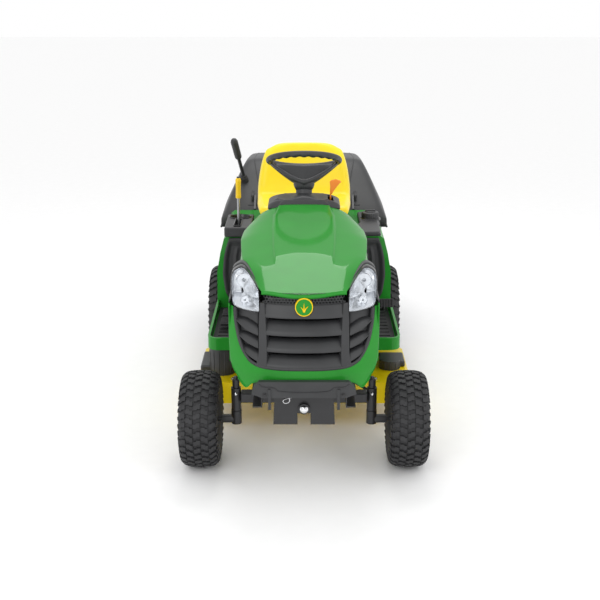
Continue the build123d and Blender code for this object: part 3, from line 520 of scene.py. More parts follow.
def nose(x, z, out=0.0):
    """A point on the nose's surface, or out millimetres in front of it."""
    ax = abs(x)
    y = NOSE_TIP + NOSE_SWEEP * (min(ax, NOSE_HALF) / NOSE_HALF) ** 2.6 + NOSE_LEAN * max(0.0, z - NOSE_FOOT)
    y += 70.0 * max(0.0, min(1.0, (z - 690) / 120)) * max(0.0, min(1.0, (ax - 150) / 70))
    return at(x, y - out, z)


def patch(inner, outer, rows, columns, out=0.0):
    """A nose panel between two outlines of (x, z) points."""
    inner, outer = smooth_through(inner, columns), smooth_through(outer, columns)
    lines = []
    for r in range(rows + 1):
        u = r / rows
        lines.append([nose(a[0] + (b[0] - a[0]) * u, a[1] + (b[1] - a[1]) * u, out) for a,
                      b in zip(inner, outer)])
    return grid(lines)


HOOD_Y0, HOOD_Y1 = -206.0, 519.0
HALF_AT = [(-206, 150), (-182, 157), (-100, 185), (-20, 214), (40, 228), (130, 240), (260, 249), (400, 245),
           (480, 236),
           (520, 224)]
EDGE_AT = [(-206, 750), (-182, 758), (-100, 780), (-20, 803), (40, 818), (130, 826), (260, 838), (400, 838),
           (480, 834),
           (520, 832)]
PANEL_AT = [(-40, 106), (150, 118), (300, 123), (420, 122), (520, 108)]
PANEL_HIGH = 8.0             # how far the middle panel stands up
CREST_Y, CREST_Z = 60, 832   # where the hood's rear plane is measured from
REAR_SLOPE, FRONT_SLOPE = 0.181, 0.34
HOOD_EASE = 22               # reach that rounds the corners of the tables above


def hood_height(x, y):
    """Height of the hood's top: two planes that meet in a bent ridge, and a raised middle panel."""
    ax = abs(x)
    half = eased(HALF_AT, y, HOOD_EASE)
    edge = eased(EDGE_AT, y, HOOD_EASE)
    panel = between(PANEL_AT, y)
    step = max(0.0, min(1.0, (panel - ax) / 8.0 + 0.5))
    raised = PANEL_HIGH * step * step * (3 - 2 * step)
    bend = 4.0 - 34.0 * min(1.0, ax / 108) ** 2 - 45.0 * max(0.0, (ax - 108) / 78)
    rear_line = CREST_Z + REAR_SLOPE * (y - CREST_Y) + raised
    front_line = CREST_Z + REAR_SLOPE * (bend - CREST_Y) - FRONT_SLOPE * (bend - y)
    soft = 1.2
    z = (rear_line + front_line - hypot(rear_line - front_line, soft)) / 2
    u = min(1.0, ax / half)
    return z - (z - edge) * u ** 4.2


def hood_top():
    """The hood's top skin, turned down at its front edge."""
    rows = []
    steps = 96
    for i in range(steps + 1):
        y = HOOD_Y0 + (HOOD_Y1 - HOOD_Y0) * i / steps
        half = eased(HALF_AT, y, HOOD_EASE)
        row = []
        for k in range(-56, 57):
            u = k / 56
            x = half * (abs(u) ** 0.85) * (1 if u >= 0 else -1)
            shift = max(0.0, (-150 - y) / 56.0) * 24.0 * (abs(x) / 150.0) ** 2
            row.append(at(x, y + shift, hood_height(x, y + shift)))
        rows.append(row)
    front = [p + Vector((0, -0.002, -0.005)) for p in rows[0]]
    under = [p + Vector((0, 0.0015, -0.013)) for p in rows[0]]
    shape = grid([under, front] + rows)
    thick(piece("hood_top_panel", shape, "hood", "green_plastic", replaces=("hood_shell",), angle=60), 4.0)


LAMP_RING = [(160, 686), (182, 684), (206, 684), (230, 685), (250, 688), (260, 698), (265, 720), (267, 744),
             (267, 768),
             (261, 790), (240, 808), (222, 812), (206, 806), (188, 792), (174, 776), (164, 762), (161, 740),
             (160, 712)]


def in_lamp(x, z):
    """Whether a point seen from ahead lies inside the lamp's outline."""
    hit = False
    for (x0, z0), (x1, z1) in zip(LAMP_RING, LAMP_RING[1:] + LAMP_RING[:1]):
        if (z0 > z) != (z1 > z) and x < x0 + (x1 - x0) * (z - z0) / (z1 - z0):
            hit = not hit
    return hit


SIDE_X = [(-142, 274), (-60, 276), (20, 272), (120, 258), (220, 251), (330, 248), (430, 240), (520, 226)]


def side_panel(name, top_line, low_line, y0, y1, material, out=0.0, replaces=()):
    """A side skin between two heights, from y0 back to y1."""
    hugs_hood = name in ("hood_side_upper", "hood_side_trim")
    rows = []
    for i in range(49):
        y = y0 + (y1 - y0) * i / 48
        top, low = eased(top_line, y, 12), eased(low_line, y, 12)
        x = eased(SIDE_X, y, 30) + out
        top_x = eased(HALF_AT, y, HOOD_EASE) - 3 if hugs_hood else x
        row = []
        for k in range(13):
            u = k / 12
            row.append(at(top_x + (x - top_x) * sin(u * pi / 2), y, top + (low - top) * u))
        rows.append(row)
    verts, faces = both(grid(rows))
    if name == "hood_side_trim":
        faces = [face
                 for face in faces if not any(in_lamp(abs(verts[i].x) / MM, verts[i].z / MM) for i in face)]
    thick(piece(name, (verts, faces), "hood", material, replaces=replaces), 4.0)


def hood_sides():
    """Side skins of the hood with their nine louvres."""
    upper_top = [(-142, 768), (-70, 782), (-10, 800), (30, 812), (130, 824), (260, 836), (400, 836),
                 (520, 830)]
    split = [(-142, 600), (0, 612), (80, 640), (330, 700), (490, 712), (520, 712)]
    bottom = [(-142, 470), (-60, 474), (520, 478)]
    lamp_line = [(-142, 694), (-20, 700), (34, 706)]
    side_panel("hood_side_upper", upper_top, split, 30, 517, "green_plastic")
    side_panel("hood_side_trim", upper_top, lamp_line, -112, 34, "black_plastic")
    side_panel("hood_side_lower", split, bottom, 30, 512, "black_plastic", out=-3.0,
               replaces=("hood_side_vents",))
    side_panel("hood_cheek", lamp_line, bottom, -118, 34, "green_plastic")
    slats = []
    for i in range(9):
        y = 110 + i * 40
        top = between(split, y) - 26
        x = between(SIDE_X, y)
        lean = 34
        front = [at(x - 2, y, top), at(x + 7, y + 7, top), at(x + 7, y + lean + 7, 512),
                 at(x - 2, y + lean, 512)]
        back = [p + Vector((0, 0.020, 0)) for p in front]
        slats.append(grid([front, back], close_u=True, caps=True))
    rounded(piece("hood_side_slats", both(joined(slats)), "hood", "black_plastic"), 2.0)


LIP = [(0, 447), (80, 445), (158, 438), (190, 424), (213, 404), (240, 430), (266, 474), (274, 540),
       (276, 610), (274, 686)]
LUG_SLOT = (42.0, 76.0)       # gap in the lip for the hinge lugs, from the middle
OPENING = [(0, 494), (80, 494), (147, 495), (184, 502), (206, 516), (226, 544), (240, 572), (250, 610),
           (255, 650),
           (257, 684)]


def chin():
    """The green panel under the grille and its rolled lower lip."""
    thick(piece("hood_chin", both(patch(OPENING, LIP, 10, 60)), "hood", "green_plastic", angle=70), 5.0)
    roll = smooth_through(LIP[:6], 40)
    lower = [nose(x, z) for x, z in roll]
    under = [p + Vector((0, 0.02, -0.004)) for p in lower]
    verts, faces = both(grid([lower, under]))
    faces = [face
             for face in faces if not any(LUG_SLOT[0] < abs(verts[i].x) / MM < LUG_SLOT[1] for i in face)]
    thick(piece("hood_chin_lip", (verts, faces), "hood", "green_plastic"), 3.0)


def slat(half, z_top, z_low, deep, lip):
    """One wide grille slat: a sloping face that ends in an upright lip."""
    rows = []
    for i in range(25):
        x = -half + 2 * half * i / 24
        section = [(deep, z_top), (deep * 0.5, z_top - 0.35 * (z_top - z_low - lip)), (3, z_low + lip + 4),
                   (0, z_low + lip),
                   (0, z_low + 2), (3, z_low), (deep + 8, z_low + 6), (deep + 8, z_top)]
        rows.append([nose(x, z, -d) for d, z in section])
    return grid(rows, close_u=True, caps=True)


def grille():
    """Wide slats between two pillars, wings with fins under the lamps, and the rims round them."""
    slats = [slat(150, 722, 668, 14, 10), slat(140, 655, 606, 30, 14), slat(138, 592, 547, 30, 13),
             slat(137, 533, 487, 28, 14)]
    rounded(piece("grille_slats", joined(slats), "hood", "black_plastic", replaces=("grille",)), 1.6, 2, 35)
    back = patch([(0, 752), (60, 752), (150, 748), (157, 700), (157, 686)],
                 [(0, 488), (60, 488), (140, 489), (190, 506), (252, 684)],
                 6, 30, out=-62)
    thick(piece("grille_backing", both(back), "hood", "black_gloss"), 2.0)
    pillar_in = [(141, 720), (137, 655), (134, 590), (133, 540), (134, 492)]
    pillar_out = [(158, 720), (162, 655), (163, 590), (164, 540), (172, 497)]
    shape = both(patch(pillar_in, pillar_out, 5, 30, out=2))
    rounded(thick(piece("grille_pillars", shape, "hood", "black_plastic"), 26.0), 3.0)
    wing_in = [(162, 684), (163, 640), (164, 590), (166, 540), (176, 500)]
    wing_out = [(254, 684), (248, 640), (238, 584), (222, 545), (196, 511)]
    shape = both(patch(wing_in, wing_out, 6, 30, out=-24))
    thick(piece("grille_wings", shape, "hood", "black_plastic"), 3.0)
    rim_in = [(176, 500), (196, 511), (215, 533), (231, 566), (241, 602), (248, 640), (250, 684)]
    rim_out = [(178, 494), (200, 505), (222, 530), (238, 562), (248, 600), (255, 640), (258, 684)]
    thick(piece("grille_rim", both(patch(rim_in, rim_out, 2, 40, out=2)), "hood", "black_plastic"), 22.0)
    fins = []
    for top, low in (
        ([(164, 634), (190, 646), (214, 652), (249, 648)], [(164, 606), (190, 612), (216, 622), (247, 642)]),
        ([(164, 590), (188, 598), (212, 602), (240, 598)], [(164, 560), (188, 566), (212, 576), (237, 592)]),
        ([(164, 546), (186, 552), (206, 556), (226, 552)], [(166, 512), (186, 520), (204, 530), (222, 546)]),
    ):
        upper, lower = smooth_through(top, 24), smooth_through(low, 24)
        rows = [[nose(x, z, -22) for x, z in upper],
                [nose((a[0] + b[0]) / 2, (a[1] + b[1]) / 2, -10) for a, b in zip(upper, lower)],
                [nose(x, z, 1) for x, z in lower],
                [nose(x, z - 4, 1) for x, z in lower]]
        fins.append(grid(rows))
    thick(piece("grille_fins", both(joined(fins)), "hood", "black_plastic"), 3.0)
    band_top = [(0, 495), (80, 495), (140, 496), (176, 503), (200, 514)]
    band_low = [(0, 486), (80, 486), (147, 487), (182, 494), (205, 507)]
    shape = both(patch(band_top, band_low, 2, 40, out=1.5))
    thick(piece("grille_bottom_band", shape, "hood", "black_plastic"), 18.0)


def honeycomb():
    """The strip of hexagonal mesh between the hood's edge and the top slat."""
    cell = 6.6

    def hexagon(x, z, r):
        return [nose(x + r * cos(radians(60 * i + 30)), z + r * sin(radians(60 * i + 30)), -6)
                for i in range(6)]

    parts = []
    for row in range(4):
        z = 723 + row * cell * 1.5
        for k in range(-12, 13):
            x = (k + 0.5 * (row % 2)) * cell * 1.74
            if abs(x) > 143:
                continue
            inner = hexagon(x, z, cell * 0.74)
            deep = [p + Vector((0, 0.004, 0)) for p in inner]
            parts.append(grid([hexagon(x, z, cell), inner, deep], close_u=True))
    piece("grille_honeycomb", joined(parts), "hood", "black_plastic")


def badge():
    """A plain round green badge with a thin yellow rim and a tuft of three grass blades."""
    z0, big = 711.0, 32.0

    def ring(r, out):
        return [nose(r * cos(2 * pi * i / 56), z0 + r * sin(2 * pi * i / 56), out) for i in range(56)]

    shape = grid([ring(big, -22), ring(big, 2), ring(big - 1, 3.4), ring(big - 3, 3.4), ring(big - 4, 1)],
                 close_u=True)
    piece("badge_rim", shape, "hood", "yellow_plastic")
    shape = grid([ring(big - 3, 0.5), ring(big - 4, 2.2), ring(big - 12, 3.6), ring(0.1, 4.4)], close_u=True)
    piece("badge_plate", shape, "hood", "green_plastic")
    blades = []
    for lean, tall in ((-0.62, 26), (0.0, 34), (0.62, 26)):
        left, mid, right = [], [], []
        for i in range(13):
            u = i / 12
            x = tall * u * sin(lean * (0.4 + 0.6 * u))
            z = z0 - 17 + tall * u * cos(lean * (0.4 + 0.6 * u))
            wide = 3.4 * (1 - u) ** 0.7
            left.append(nose(x - wide, z, 4.6))
            mid.append(nose(x, z, 5.8))
            right.append(nose(x + wide, z, 4.6))
        blades.append(grid([left, mid, right]))
    thick(piece("badge_grass", joined(blades), "hood", "yellow_plastic"), 1.0)


def lamp_rows(*stations):
    """Lamp outlines, one for each (scale about the lamp's middle, millimetres in front of the nose)."""
    cx, cz = 218.0, 742.0
    outline = smooth_through(LAMP_RING + [LAMP_RING[0]], 73)[:-1]
    return [[nose(cx + (x - cx) * scale, cz + (z - cz) * scale, out) for x, z in outline] for scale,
            out in stations]


def nose_axis(x, z):
    """The direction straight out of the nose."""
    return (nose(x, z, 10) - nose(x, z, 0)).normalized()


def headlights():
    """Each lamp: dark frame, bright faceted bowl with two chambers, bulb and a clear outer lens."""
    frame_rows = lamp_rows((1.045, -30), (1.045, -1), (1.02, 1.5), (0.985, 1.0), (0.975, -6))
    piece("headlight_frames", both(grid(frame_rows, close_u=True)), "hood", "black_gloss", angle=50)
    bowl = grid(lamp_rows((0.975, -3), (0.93, -8), (0.82, -26), (0.62, -40), (0.4, -48), (0.02, -50)),
                close_u=True)
    shelf_rows = []
    for depth, drop in ((-20, 0.0), (-44, 1.5), (-44, 5.0), (-20, 3.5)):
        shelf_rows.append([nose(167 + 97 * i / 16, 729 - drop + 4 * sin(pi * i / 16), depth)
                           for i in range(17)])
    shelf = grid(shelf_rows, close_v=True)
    cups = []
    for x, z, r in ((220, 768, 25), (214, 708, 14)):
        profile = [(0, 4), (3, r * 0.5), (12, r * 0.85), (24, r), (26, r + 2), (22, r + 3)]
        cups.append(lathe(profile, nose(x, z, -46), nose_axis(x, z), 32))
    shape = both(joined([bowl, shelf] + cups))
    piece("headlight_reflectors", shape, "hood", "reflector", replaces=("headlight_bowls",), angle=35)
    bulbs = []
    for x, z, r in ((220, 768, 9), (214, 708, 5)):
        profile = [(-4, r), (8, r), (16, r * 0.8), (20, r * 0.3), (21, 0.1)]
        bulbs.append(lathe(profile, nose(x, z, -40), nose_axis(x, z), 24))
    piece("headlight_bulbs", both(joined(bulbs)), "hood", "grey_steel")
    lens_rows = lamp_rows((0.985, -2), (0.97, 2.5), (0.93, 4.5), (0.7, 6.5), (0.4, 7), (0.02, 7))
    shape = both(grid(lens_rows, close_u=True))
    thick(piece("headlight_covers", shape, "hood", "lens", replaces=("headlight_lenses",)), 2.0)
    seam = lamp_rows((1.05, -42), (1.05, -90))
    thick(piece("headlight_cans", both(grid(seam, close_u=True)), "hood", "black_plastic"), 3.0)


# ---------------------------------------------------------------- steering wheel and dash
COLUMN_LEAN = radians(20)
WHEEL_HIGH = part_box("steering_wheel")[1]
RIM_TUBE = 15.0
RIM_R = WHEEL_HIGH.x / MM - RIM_TUBE
RIM_Z = WHEEL_HIGH.z / MM - RIM_R * sin(COLUMN_LEAN) - RIM_TUBE
RIM_Y = 680.0


def on_column(drop, side=0.0, back=0.0):
    """A point below the rim's plane, measured along the column and in the plane."""
    return at(side, RIM_Y - drop * sin(COLUMN_LEAN) + back * cos(COLUMN_LEAN),
              RIM_Z - drop * cos(COLUMN_LEAN) - back * sin(COLUMN_LEAN))


COLUMN_UP = (on_column(0) - on_column(100)).normalized()


SPOKE_HALF = 146             # the padded bar reaches this far to each side


def spoke_drop(a):
    """How far the padded bar lies under the rim, a from 0 at the hub to 1 at the rim."""
    return 100.0 - 96.0 * a ** 1.35


def spoke_back(a):
    """How far the padded bar lies towards the seat."""
    return 46.0 * a ** 1.3


def steering_wheel():
    """Rim with finger grips, padded bar with its apron, hub and cap."""
    rows = []
    turns = 144
    for i in range(turns):
        turn = 2 * pi * i / turns
        centre = on_column(0, RIM_R * cos(turn), RIM_R * sin(turn))
        outward = (centre - on_column(0)).normalized()
        near = max(0.0, -sin(turn)) ** 0.6
        row = []
        for k in range(20):
            a = 2 * pi * k / 20
            under = max(0.0, -sin(a))
            r = RIM_TUBE * (0.96 + 0.02 * cos(2 * a)) + near * under * (2.4 * cos(24 * turn) - 0.4)
            row.append(centre + (outward * cos(a) * r + COLUMN_UP * sin(a) * r * 0.94) * MM)
        rows.append(row)
    rim = grid(rows, close_u=True, close_v=True)
    rows = []
    for i in range(49):
        u = -1 + 2 * i / 48
        a = abs(u)
        drop = spoke_drop(a)
        back = spoke_back(a) - 2.0
        half = 25.0 + 27.0 * (1 - a) ** 0.8
        deep = 7.0 + 9.0 * (1 - a)
        row = []
        for k in range(24):
            t = 2 * pi * k / 24
            c, s = cos(t), sin(t)
            across = half * abs(c) ** 0.7 * (1 if c >= 0 else -1)
            up = deep * abs(s) ** 0.7 * (1 if s >= 0 else -1)
            dish = 7.0 * (1 - a) * max(0.0, s) * (1 - abs(c))
            row.append(on_column(drop - up + dish, SPOKE_HALF * u, back + across))
        rows.append(row)
    pad = grid(rows, close_u=True, caps=True)
    fan = []
    for i in range(25):
        u = -0.86 + 1.72 * i / 24
        a = abs(u)
        low = 112.0 - 104.0 * a ** 1.35
        high = 12.0 + 8.0 * (1 - a) - 6.0 * a
        row = []
        for k in range(9):
            t = k / 8
            drop = low + (min(high, low - 4.0) - low) * t
            row.append(on_column(drop, SPOKE_HALF * u, spoke_back(a) - 26.0 + 16.0 * t * t))
        fan.append(row)
    thick(piece("steering_wheel_apron", grid(fan), "steering", "black_plastic", angle=50), 4.0)
    hub = lathe([(-131, 26), (-129, 33), (-118, 40), (-104, 45), (-92, 44), (-86, 30)], on_column(0),
                COLUMN_UP, 48)
    cap = lathe([(-88, 30), (-84, 30), (-81, 26), (-80, 0.1)], on_column(0), COLUMN_UP, 48)
    shape = joined([rim, pad, hub, cap])
    piece("steering_wheel_moulding", shape, "steering", "black_plastic", replaces=("steering_wheel",),
          angle=50)
    grooves = []
    for side in (-1, 1):
        line = []
        for i in range(13):
            u = side * (0.18 + 0.6 * i / 12)
            a = abs(u)
            line.append(on_column(spoke_drop(a) + 16.2 - 9.0 * a, SPOKE_HALF * u, spoke_back(a) - 20))
        grooves.append(tube(line, 2.0, 8))
    piece("steering_wheel_ribs", joined(grooves), "steering", "black_gloss")


DIAL_AT = (0, 706, 884)
THROTTLE_AT = (112, 606, 908)
KEY_X, KEY_Z = -92, 883


def dash():
    """Column boot, crowned dash top with the throttle's slot, and the dial with its marks."""
    ribs = []
    for i in range(9):
        drop = 214 - i * 6.2
        r = 39 - i * 1.9
        ribs += [(-drop - 3, r - 2.5), (-drop + 1, r), (-drop + 3.5, r)]
    ribs += [(-162, 20), (-158, 18.5), (-138, 18.5), (-136, 15)]
    piece("column_boot", lathe(ribs, on_column(0), COLUMN_UP, 40), "chassis", "rubber")
    rows = []
    for j in range(41):
        v = j / 40
        y = 524 + 182 * v
        end = min(1.0, min(v, 1 - v) / 0.16)
        lift = sin(end * pi / 2)
        row = []
        for i in range(61):
            x = -151 + 302 * i / 60
            crown = (1 - (abs(x) / 153) ** 3.0) ** 0.5
            hump = 15 * max(0.0, 1 - (x / 62) ** 2) ** 2 * max(0.0, 1 - ((v - 0.42) / 0.42) ** 2)
            row.append(at(x, y, 906 + (34 * crown) * lift + hump))
        rows.append(row)
    verts, faces = grid(rows)
    kept = []
    for face in faces:
        mid = sum((verts[i] for i in face), Vector()) / len(face)
        x, y = mid.x / MM, (mid.y - AXLE_Y) / MM
        if not (100 < x < 124 and 562 < y < 638):
            kept.append(face)
    thick(piece("dash_brow", (verts, kept), "chassis", "black_plastic"), 4.0)
    dial = lathe([(0, 21), (5, 21), (6, 19), (3, 17), (3, 0.1)], at(*DIAL_AT), (0, 1, 0), 40)
    plate = lathe([(0, 16), (4, 16), (5, 14), (5, 9.5), (0, 9.5)], at(-92, 706, 883), (0, 1, 0), 32)
    plate2 = lathe([(0, 13), (4, 13), (5, 11), (5, 7), (0, 7)], at(62, 706, 868), (0, 1, 0), 32)
    piece("dash_dials", joined([dial, plate, plate2]), "chassis", "black_gloss")
    shape = lathe([(3.2, 16.5), (3.6, 16.5), (3.6, 0.1)], at(*DIAL_AT), (0, 1, 0), 40)
    piece("dash_dial_face", shape, "chassis", "grey_steel")
    ticks = []
    for i in range(13):
        a = radians(-120 + 20 * i)
        ticks.append(tube([at(12 * sin(a), 709.8, 884 + 12 * cos(a)),
                           at(15 * sin(a), 709.8, 884 + 15 * cos(a))], 0.4, 6))
    ticks.append(tube([at(0, 710, 884), at(7, 710, 892)], 0.6, 6))
    piece("dash_dial_marks", joined(ticks), "chassis", "black_plastic")


def extruded_xz(outline, y0, y1, shrink):
    """An (x, z) outline drawn out along y, smaller at its two ends."""
    cx = sum(p[0] for p in outline) / len(outline)
    cz = sum(p[1] for p in outline) / len(outline)
    rows = []
    for y, s in ((y0, 1 - shrink), (y0 + (y1 - y0) * 0.25, 1.0), (y0 + (y1 - y0) * 0.75, 1.0),
                 (y1, 1 - shrink)):
        rows.append([at(cx + (x - cx) * s, y, cz + (z - cz) * s) for x, z in outline])
    return grid(rows, close_u=True, caps=True)


def small_controls():
    """Throttle lever, blade knob, ignition key and fuel cap."""
    fan = [(109, 954), (117, 953), (126, 968), (150, 1000), (157, 1004), (151, 1011), (134, 1016),
           (114, 1012), (108, 1006),
           (110, 985)]
    arm = tube([at(*THROTTLE_AT), at(112, 596, 940), at(113, 589, 962)], 3.2, 10)
    pivot = lathe([(-7, 9), (-6, 10.5), (6, 10.5), (7, 9)], at(*THROTTLE_AT), (1, 0, 0), 24)
    shape = joined([extruded_xz(fan, 583, 593, 0.08), arm, pivot])
    lever = piece("throttle_fan", shape, "throttle", "orange_plastic", replaces=("throttle_lever",))
    rounded(lever, 1.2, 3)
    profile = [(-48, 7), (0, 7), (1, 14), (4, 18), (10, 19.5), (15, 17.5), (17, 12), (17.5, 0.1)]
    knob = lathe(profile, at(62, 728, 868), (0, 1, 0), 36)
    piece("blade_knob", knob, "blade_knob", "yellow_plastic", replaces=("pto_knob",))
    bow = [(11 * cos(2 * pi * i / 20), 13 * sin(2 * pi * i / 20)) for i in range(20)]
    sides = [[at(KEY_X + face + up * 0.35, 732 + back, KEY_Z + up) for back, up in bow] for face in (0, 3)]
    stem = tube([at(KEY_X, 690, KEY_Z), at(KEY_X, 730, KEY_Z)], 5, 12)
    shape = joined([stem, grid(sides, close_u=True, caps=True)])
    rounded(piece("key_bow", shape, "key", "black_plastic", replaces=("ignition_key",)), 0.8, 2)
    knurled_cap()


def knurled_cap():
    """The fuel cap: a knurled skirt, a step and a finger ridge across the top."""
    low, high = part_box("fuel_cap")
    centre = Vector(((low.x + high.x) / 2, (low.y + high.y) / 2, low.z))
    rows = []
    for h, r, knurl in ((0, 40, 0), (0.5, 42, 1), (20, 42, 1), (26, 39, 0.6),
                        (28, 32, 0), (28, 27, 0), (32, 25, 0), (33, 0.1, 0)):
        row = []
        for i in range(144):
            turn = 2 * pi * i / 144
            reach = (r - 1.4 * knurl * (i % 6 < 2)) * MM
            row.append(centre + Vector((cos(turn), sin(turn), 0)) * reach + Vector((0, 0, h * MM)))
        rows.append(row)
    ridge = box_mesh(-24, 24, -5, 5, 0, 8)
    ridge = ([v + centre + Vector((0, -AXLE_Y, 0.029)) for v in ridge[0]], ridge[1])
    shape = joined([grid(rows, close_u=True, caps=True), ridge])
    obj = piece("fuel_cap_knurled", shape, "fuel_cap", "black_plastic", replaces=("fuel_cap",))
    add_modifier(obj, "BEVEL", width=1.2 * MM, segments=2, limit_method="ANGLE", angle_limit=radians(50))


def grip(name, start, end, radii, body, material, ribs=0, replaces=()):
    """A moulded grip along a line, with rings round it."""
    axis = end - start
    steps = 72
    rib_high = 1.4
    rows = []
    for i in range(steps + 1):
        u = i / steps
        r = between(radii, u)
        if ribs:
            r += rib_high * max(0.0, sin(2 * pi * ribs * u)) * (0.1 < u < 0.9)
        rows.append(ring_points(start + axis * u, axis, r * MM, 28))
    piece(name, grid(rows, close_u=True, caps=True), body, material, replaces=replaces, angle=60)


def levers():
    """The hopper's dump lever with its bar and socket, and the deck lift lever's grip."""
    foot, top = at(-300, 1652, 760), at(-353, 1536, 1020)
    way = (top - foot).normalized()
    end = top + way * 0.0275
    start = top - way * 0.092
    grip("dump_grip", start, end, [(0, 13), (0.06, 17), (0.85, 18), (0.95, 15), (1, 8)], "dump_lever",
         "black_plastic", 12)
    grip("dump_bar", foot, start + way * 0.004, [(0, 9.2), (1, 9.2)], "dump_lever", "black_steel",
         replaces=("hopper_lever",))
    sleeve_low, sleeve_high = at(-306, 1640, 786), at(-322, 1605, 865)
    ribs = []
    for i in range(6):
        ribs += [(i * 9.0, 25 - i), (i * 9.0 + 4, 26 - i), (i * 9.0 + 6, 22.5 - i)]
    ribs += [(60, 15), (62, 11)]
    shape = lathe([(-22, 30)] + ribs, sleeve_low, sleeve_high - sleeve_low, 32)
    piece("dump_socket", shape, "hopper", "rubber")
    low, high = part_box("lift_grip")
    x = (low.x + high.x) / 2
    base, tip = Vector((x, at(0, 998, 0).y, low.z)), Vector((x, at(0, 1002, 0).y, high.z))
    grip("lift_grip_moulding", base, tip,
         [(0, 11), (0.04, 12.6), (0.5, 11.2), (0.86, 13), (0.96, 11), (1, 4)], "lift_lever",
         "yellow_plastic", replaces=("lift_grip",))
    button = lathe([(0, 7), (6, 7), (8, 5), (8.5, 0.1)], tip - Vector((0, 0, 0.003)), (0, 0, 1), 20)
    piece("lift_button", button, "lift_lever", "black_plastic")


# ---------------------------------------------------------------- seat
SEAT_PATH = [(985, 756, 186), (952, 764, 196), (944, 790, 204), (966, 808, 214), (1060, 802, 224),
             (1160, 802, 228),
             (1226, 814, 230), (1258, 856, 230), (1280, 940, 217), (1296, 1018, 204), (1310, 1056, 186),
             (1334, 1062, 178), (1352, 1020, 192), (1356, 900, 212), (1350, 808, 222), (1318, 758, 206),
             (1150, 755, 200)]
SEAT_STATIONS = (-1.0, -0.94, -0.78, -0.55, 0.0, 0.55, 0.78, 0.94, 1.0)
CUSHION_MID_Z = 782          # the rounded ends close in on the middle of the cushion,
CREASE_Y, CREASE_Z = 1290, 800   # of the crease between cushion and back
BACK_MID_Y = 1316            # and of the back
SPRING_X = 70


def seat():
    """One moulded vinyl bucket: dished cushion and back between rounded side bolsters."""
    rows = []
    for u in SEAT_STATIONS:
        a = abs(u)
        bolster = 1.0 if 0.7 < a < 0.98 else (0.35 if a > 0.98 else (0.45 if a > 0.5 else 0.0))
        row = []
        for i, (y, z, half) in enumerate(SEAT_PATH):
            if i in (3, 4, 5):
                z += 17 * bolster
            if i in (7, 8, 9):
                y -= 24 * bolster
            if i == 6:
                y -= 16 * bolster
                z += 12 * bolster
            if 9 <= i <= 12:
                z -= (30 if a > 0.9 else (10 if a > 0.7 else 0))
            if a > 0.98:
                if i < 6 or i == 16:
                    z += (CUSHION_MID_Z - z) * 0.55
                elif i in (6, 14, 15):
                    y += (CREASE_Y - y) * 0.35
                    z += (CREASE_Z - z) * 0.35
                else:
                    y += (BACK_MID_Y - y) * 0.55
            row.append(at(u * half, y, z))
        rows.append(row)
    verts, faces = grid(rows, close_u=True)
    last = (len(rows) - 1) * len(SEAT_PATH)
    for base, flip in ((0, False), (last, True)):
        for quad in ((2, 3, 0, 1), (3, 4, 16, 0), (4, 5, 16), (5, 6, 15, 16), (6, 7, 14, 15), (7, 8, 13, 14),
                     (8, 9, 12, 13),
                     (9, 10, 11, 12)):
            face = tuple(base + k for k in quad)
            faces.append(tuple(reversed(face)) if flip else face)
    obj = piece("seat_vinyl_bucket", (verts, faces), "seat", "seat_vinyl", replaces=("seat_cushion",),
                angle=180)
    subdivided(obj, 4)
    rows = []
    for x, y0, y1 in ((-206, 985, 1330), (-200, 968, 1336), (0, 962, 1340), (200, 968, 1336),
                      (206, 985, 1330)):
        rows.append([at(x, y, z) for y,
                     z in ((y0, 762), (y0 - 4, 750), (y0 + 14, 744), (y1 - 14, 744), (y1, 750), (y1, 764))])
    obj = piece("seat_pan_lip", grid(rows), "seat", "black_plastic")
    thick(subdivided(obj, 2), 3.0)


def coil(centre_low, height, radius, wire, turns):
    """A spring's wire, wound up from its foot."""
    points = []
    per_turn = 28
    for i in range(int(turns * per_turn) + 1):
        a = 2 * pi * i / per_turn
        u = i / (turns * per_turn)
        points.append(centre_low + Vector((radius * cos(a), radius * sin(a), height * u)) * MM)
    return tube(points, wire, 8)


def plate_yz(outline, x, wide):
    """A flat plate cut to a (y, z) outline."""
    near = [at(x, y, z) for y, z in outline]
    far = [p + Vector((wide * MM, 0, 0)) for p in near]
    return grid([near, far], close_u=True, caps=True)


def seat_springs():
    """Two springs in cups under the cushion, and the seat's front hinge."""
    coils = [coil(at(x, 1160, 703), 17, 18, 2.4, 3.5) for x in (-SPRING_X, SPRING_X)]
    piece("seat_coils", joined(coils), "chassis", "steel", replaces=("seat_mount",))
    outline = [(916, 700), (916, 722), (921, 730), (930, 734), (939, 730), (944, 722), (944, 700)]
    ears = [plate_yz(outline, x, 8) for x in (-124, 116)]
    profile = [(-133, 5), (-131, 9), (-126, 9), (-126, 6), (126, 6), (126, 9), (131, 9), (133, 5)]
    pin = lathe(profile, at(0, 930, 722), (1, 0, 0), 24)
    cups = [lathe([(0, 27), (3, 27), (3, 21), (0, 21)], at(x, 1160, 700.5), (0, 0, 1), 32)
            for x in (-SPRING_X, SPRING_X)]
    piece("seat_hinge", joined(ears + [pin] + cups), "chassis", "black_steel")


# ---------------------------------------------------------------- grass hopper
COVER = [(1447, 424, 408, 668), (1478, 425, 398, 700), (1600, 426, 364, 792), (1735, 428, 312, 900),
         (1800, 428, 306, 906),
         (1950, 426, 304, 896), (2100, 421, 300, 880)]


def cut_corners(points):
    """Three rounds of Chaikin corner cutting that keep the two ends."""
    for _ in range(3):
        out = [points[0]]
        for a, b in zip(points, points[1:]):
            out.append(tuple(p * 0.75 + q * 0.25 for p, q in zip(a, b)))
            out.append(tuple(p * 0.25 + q * 0.75 for p, q in zip(a, b)))
        out.append(points[-1])
        points = out
    return points


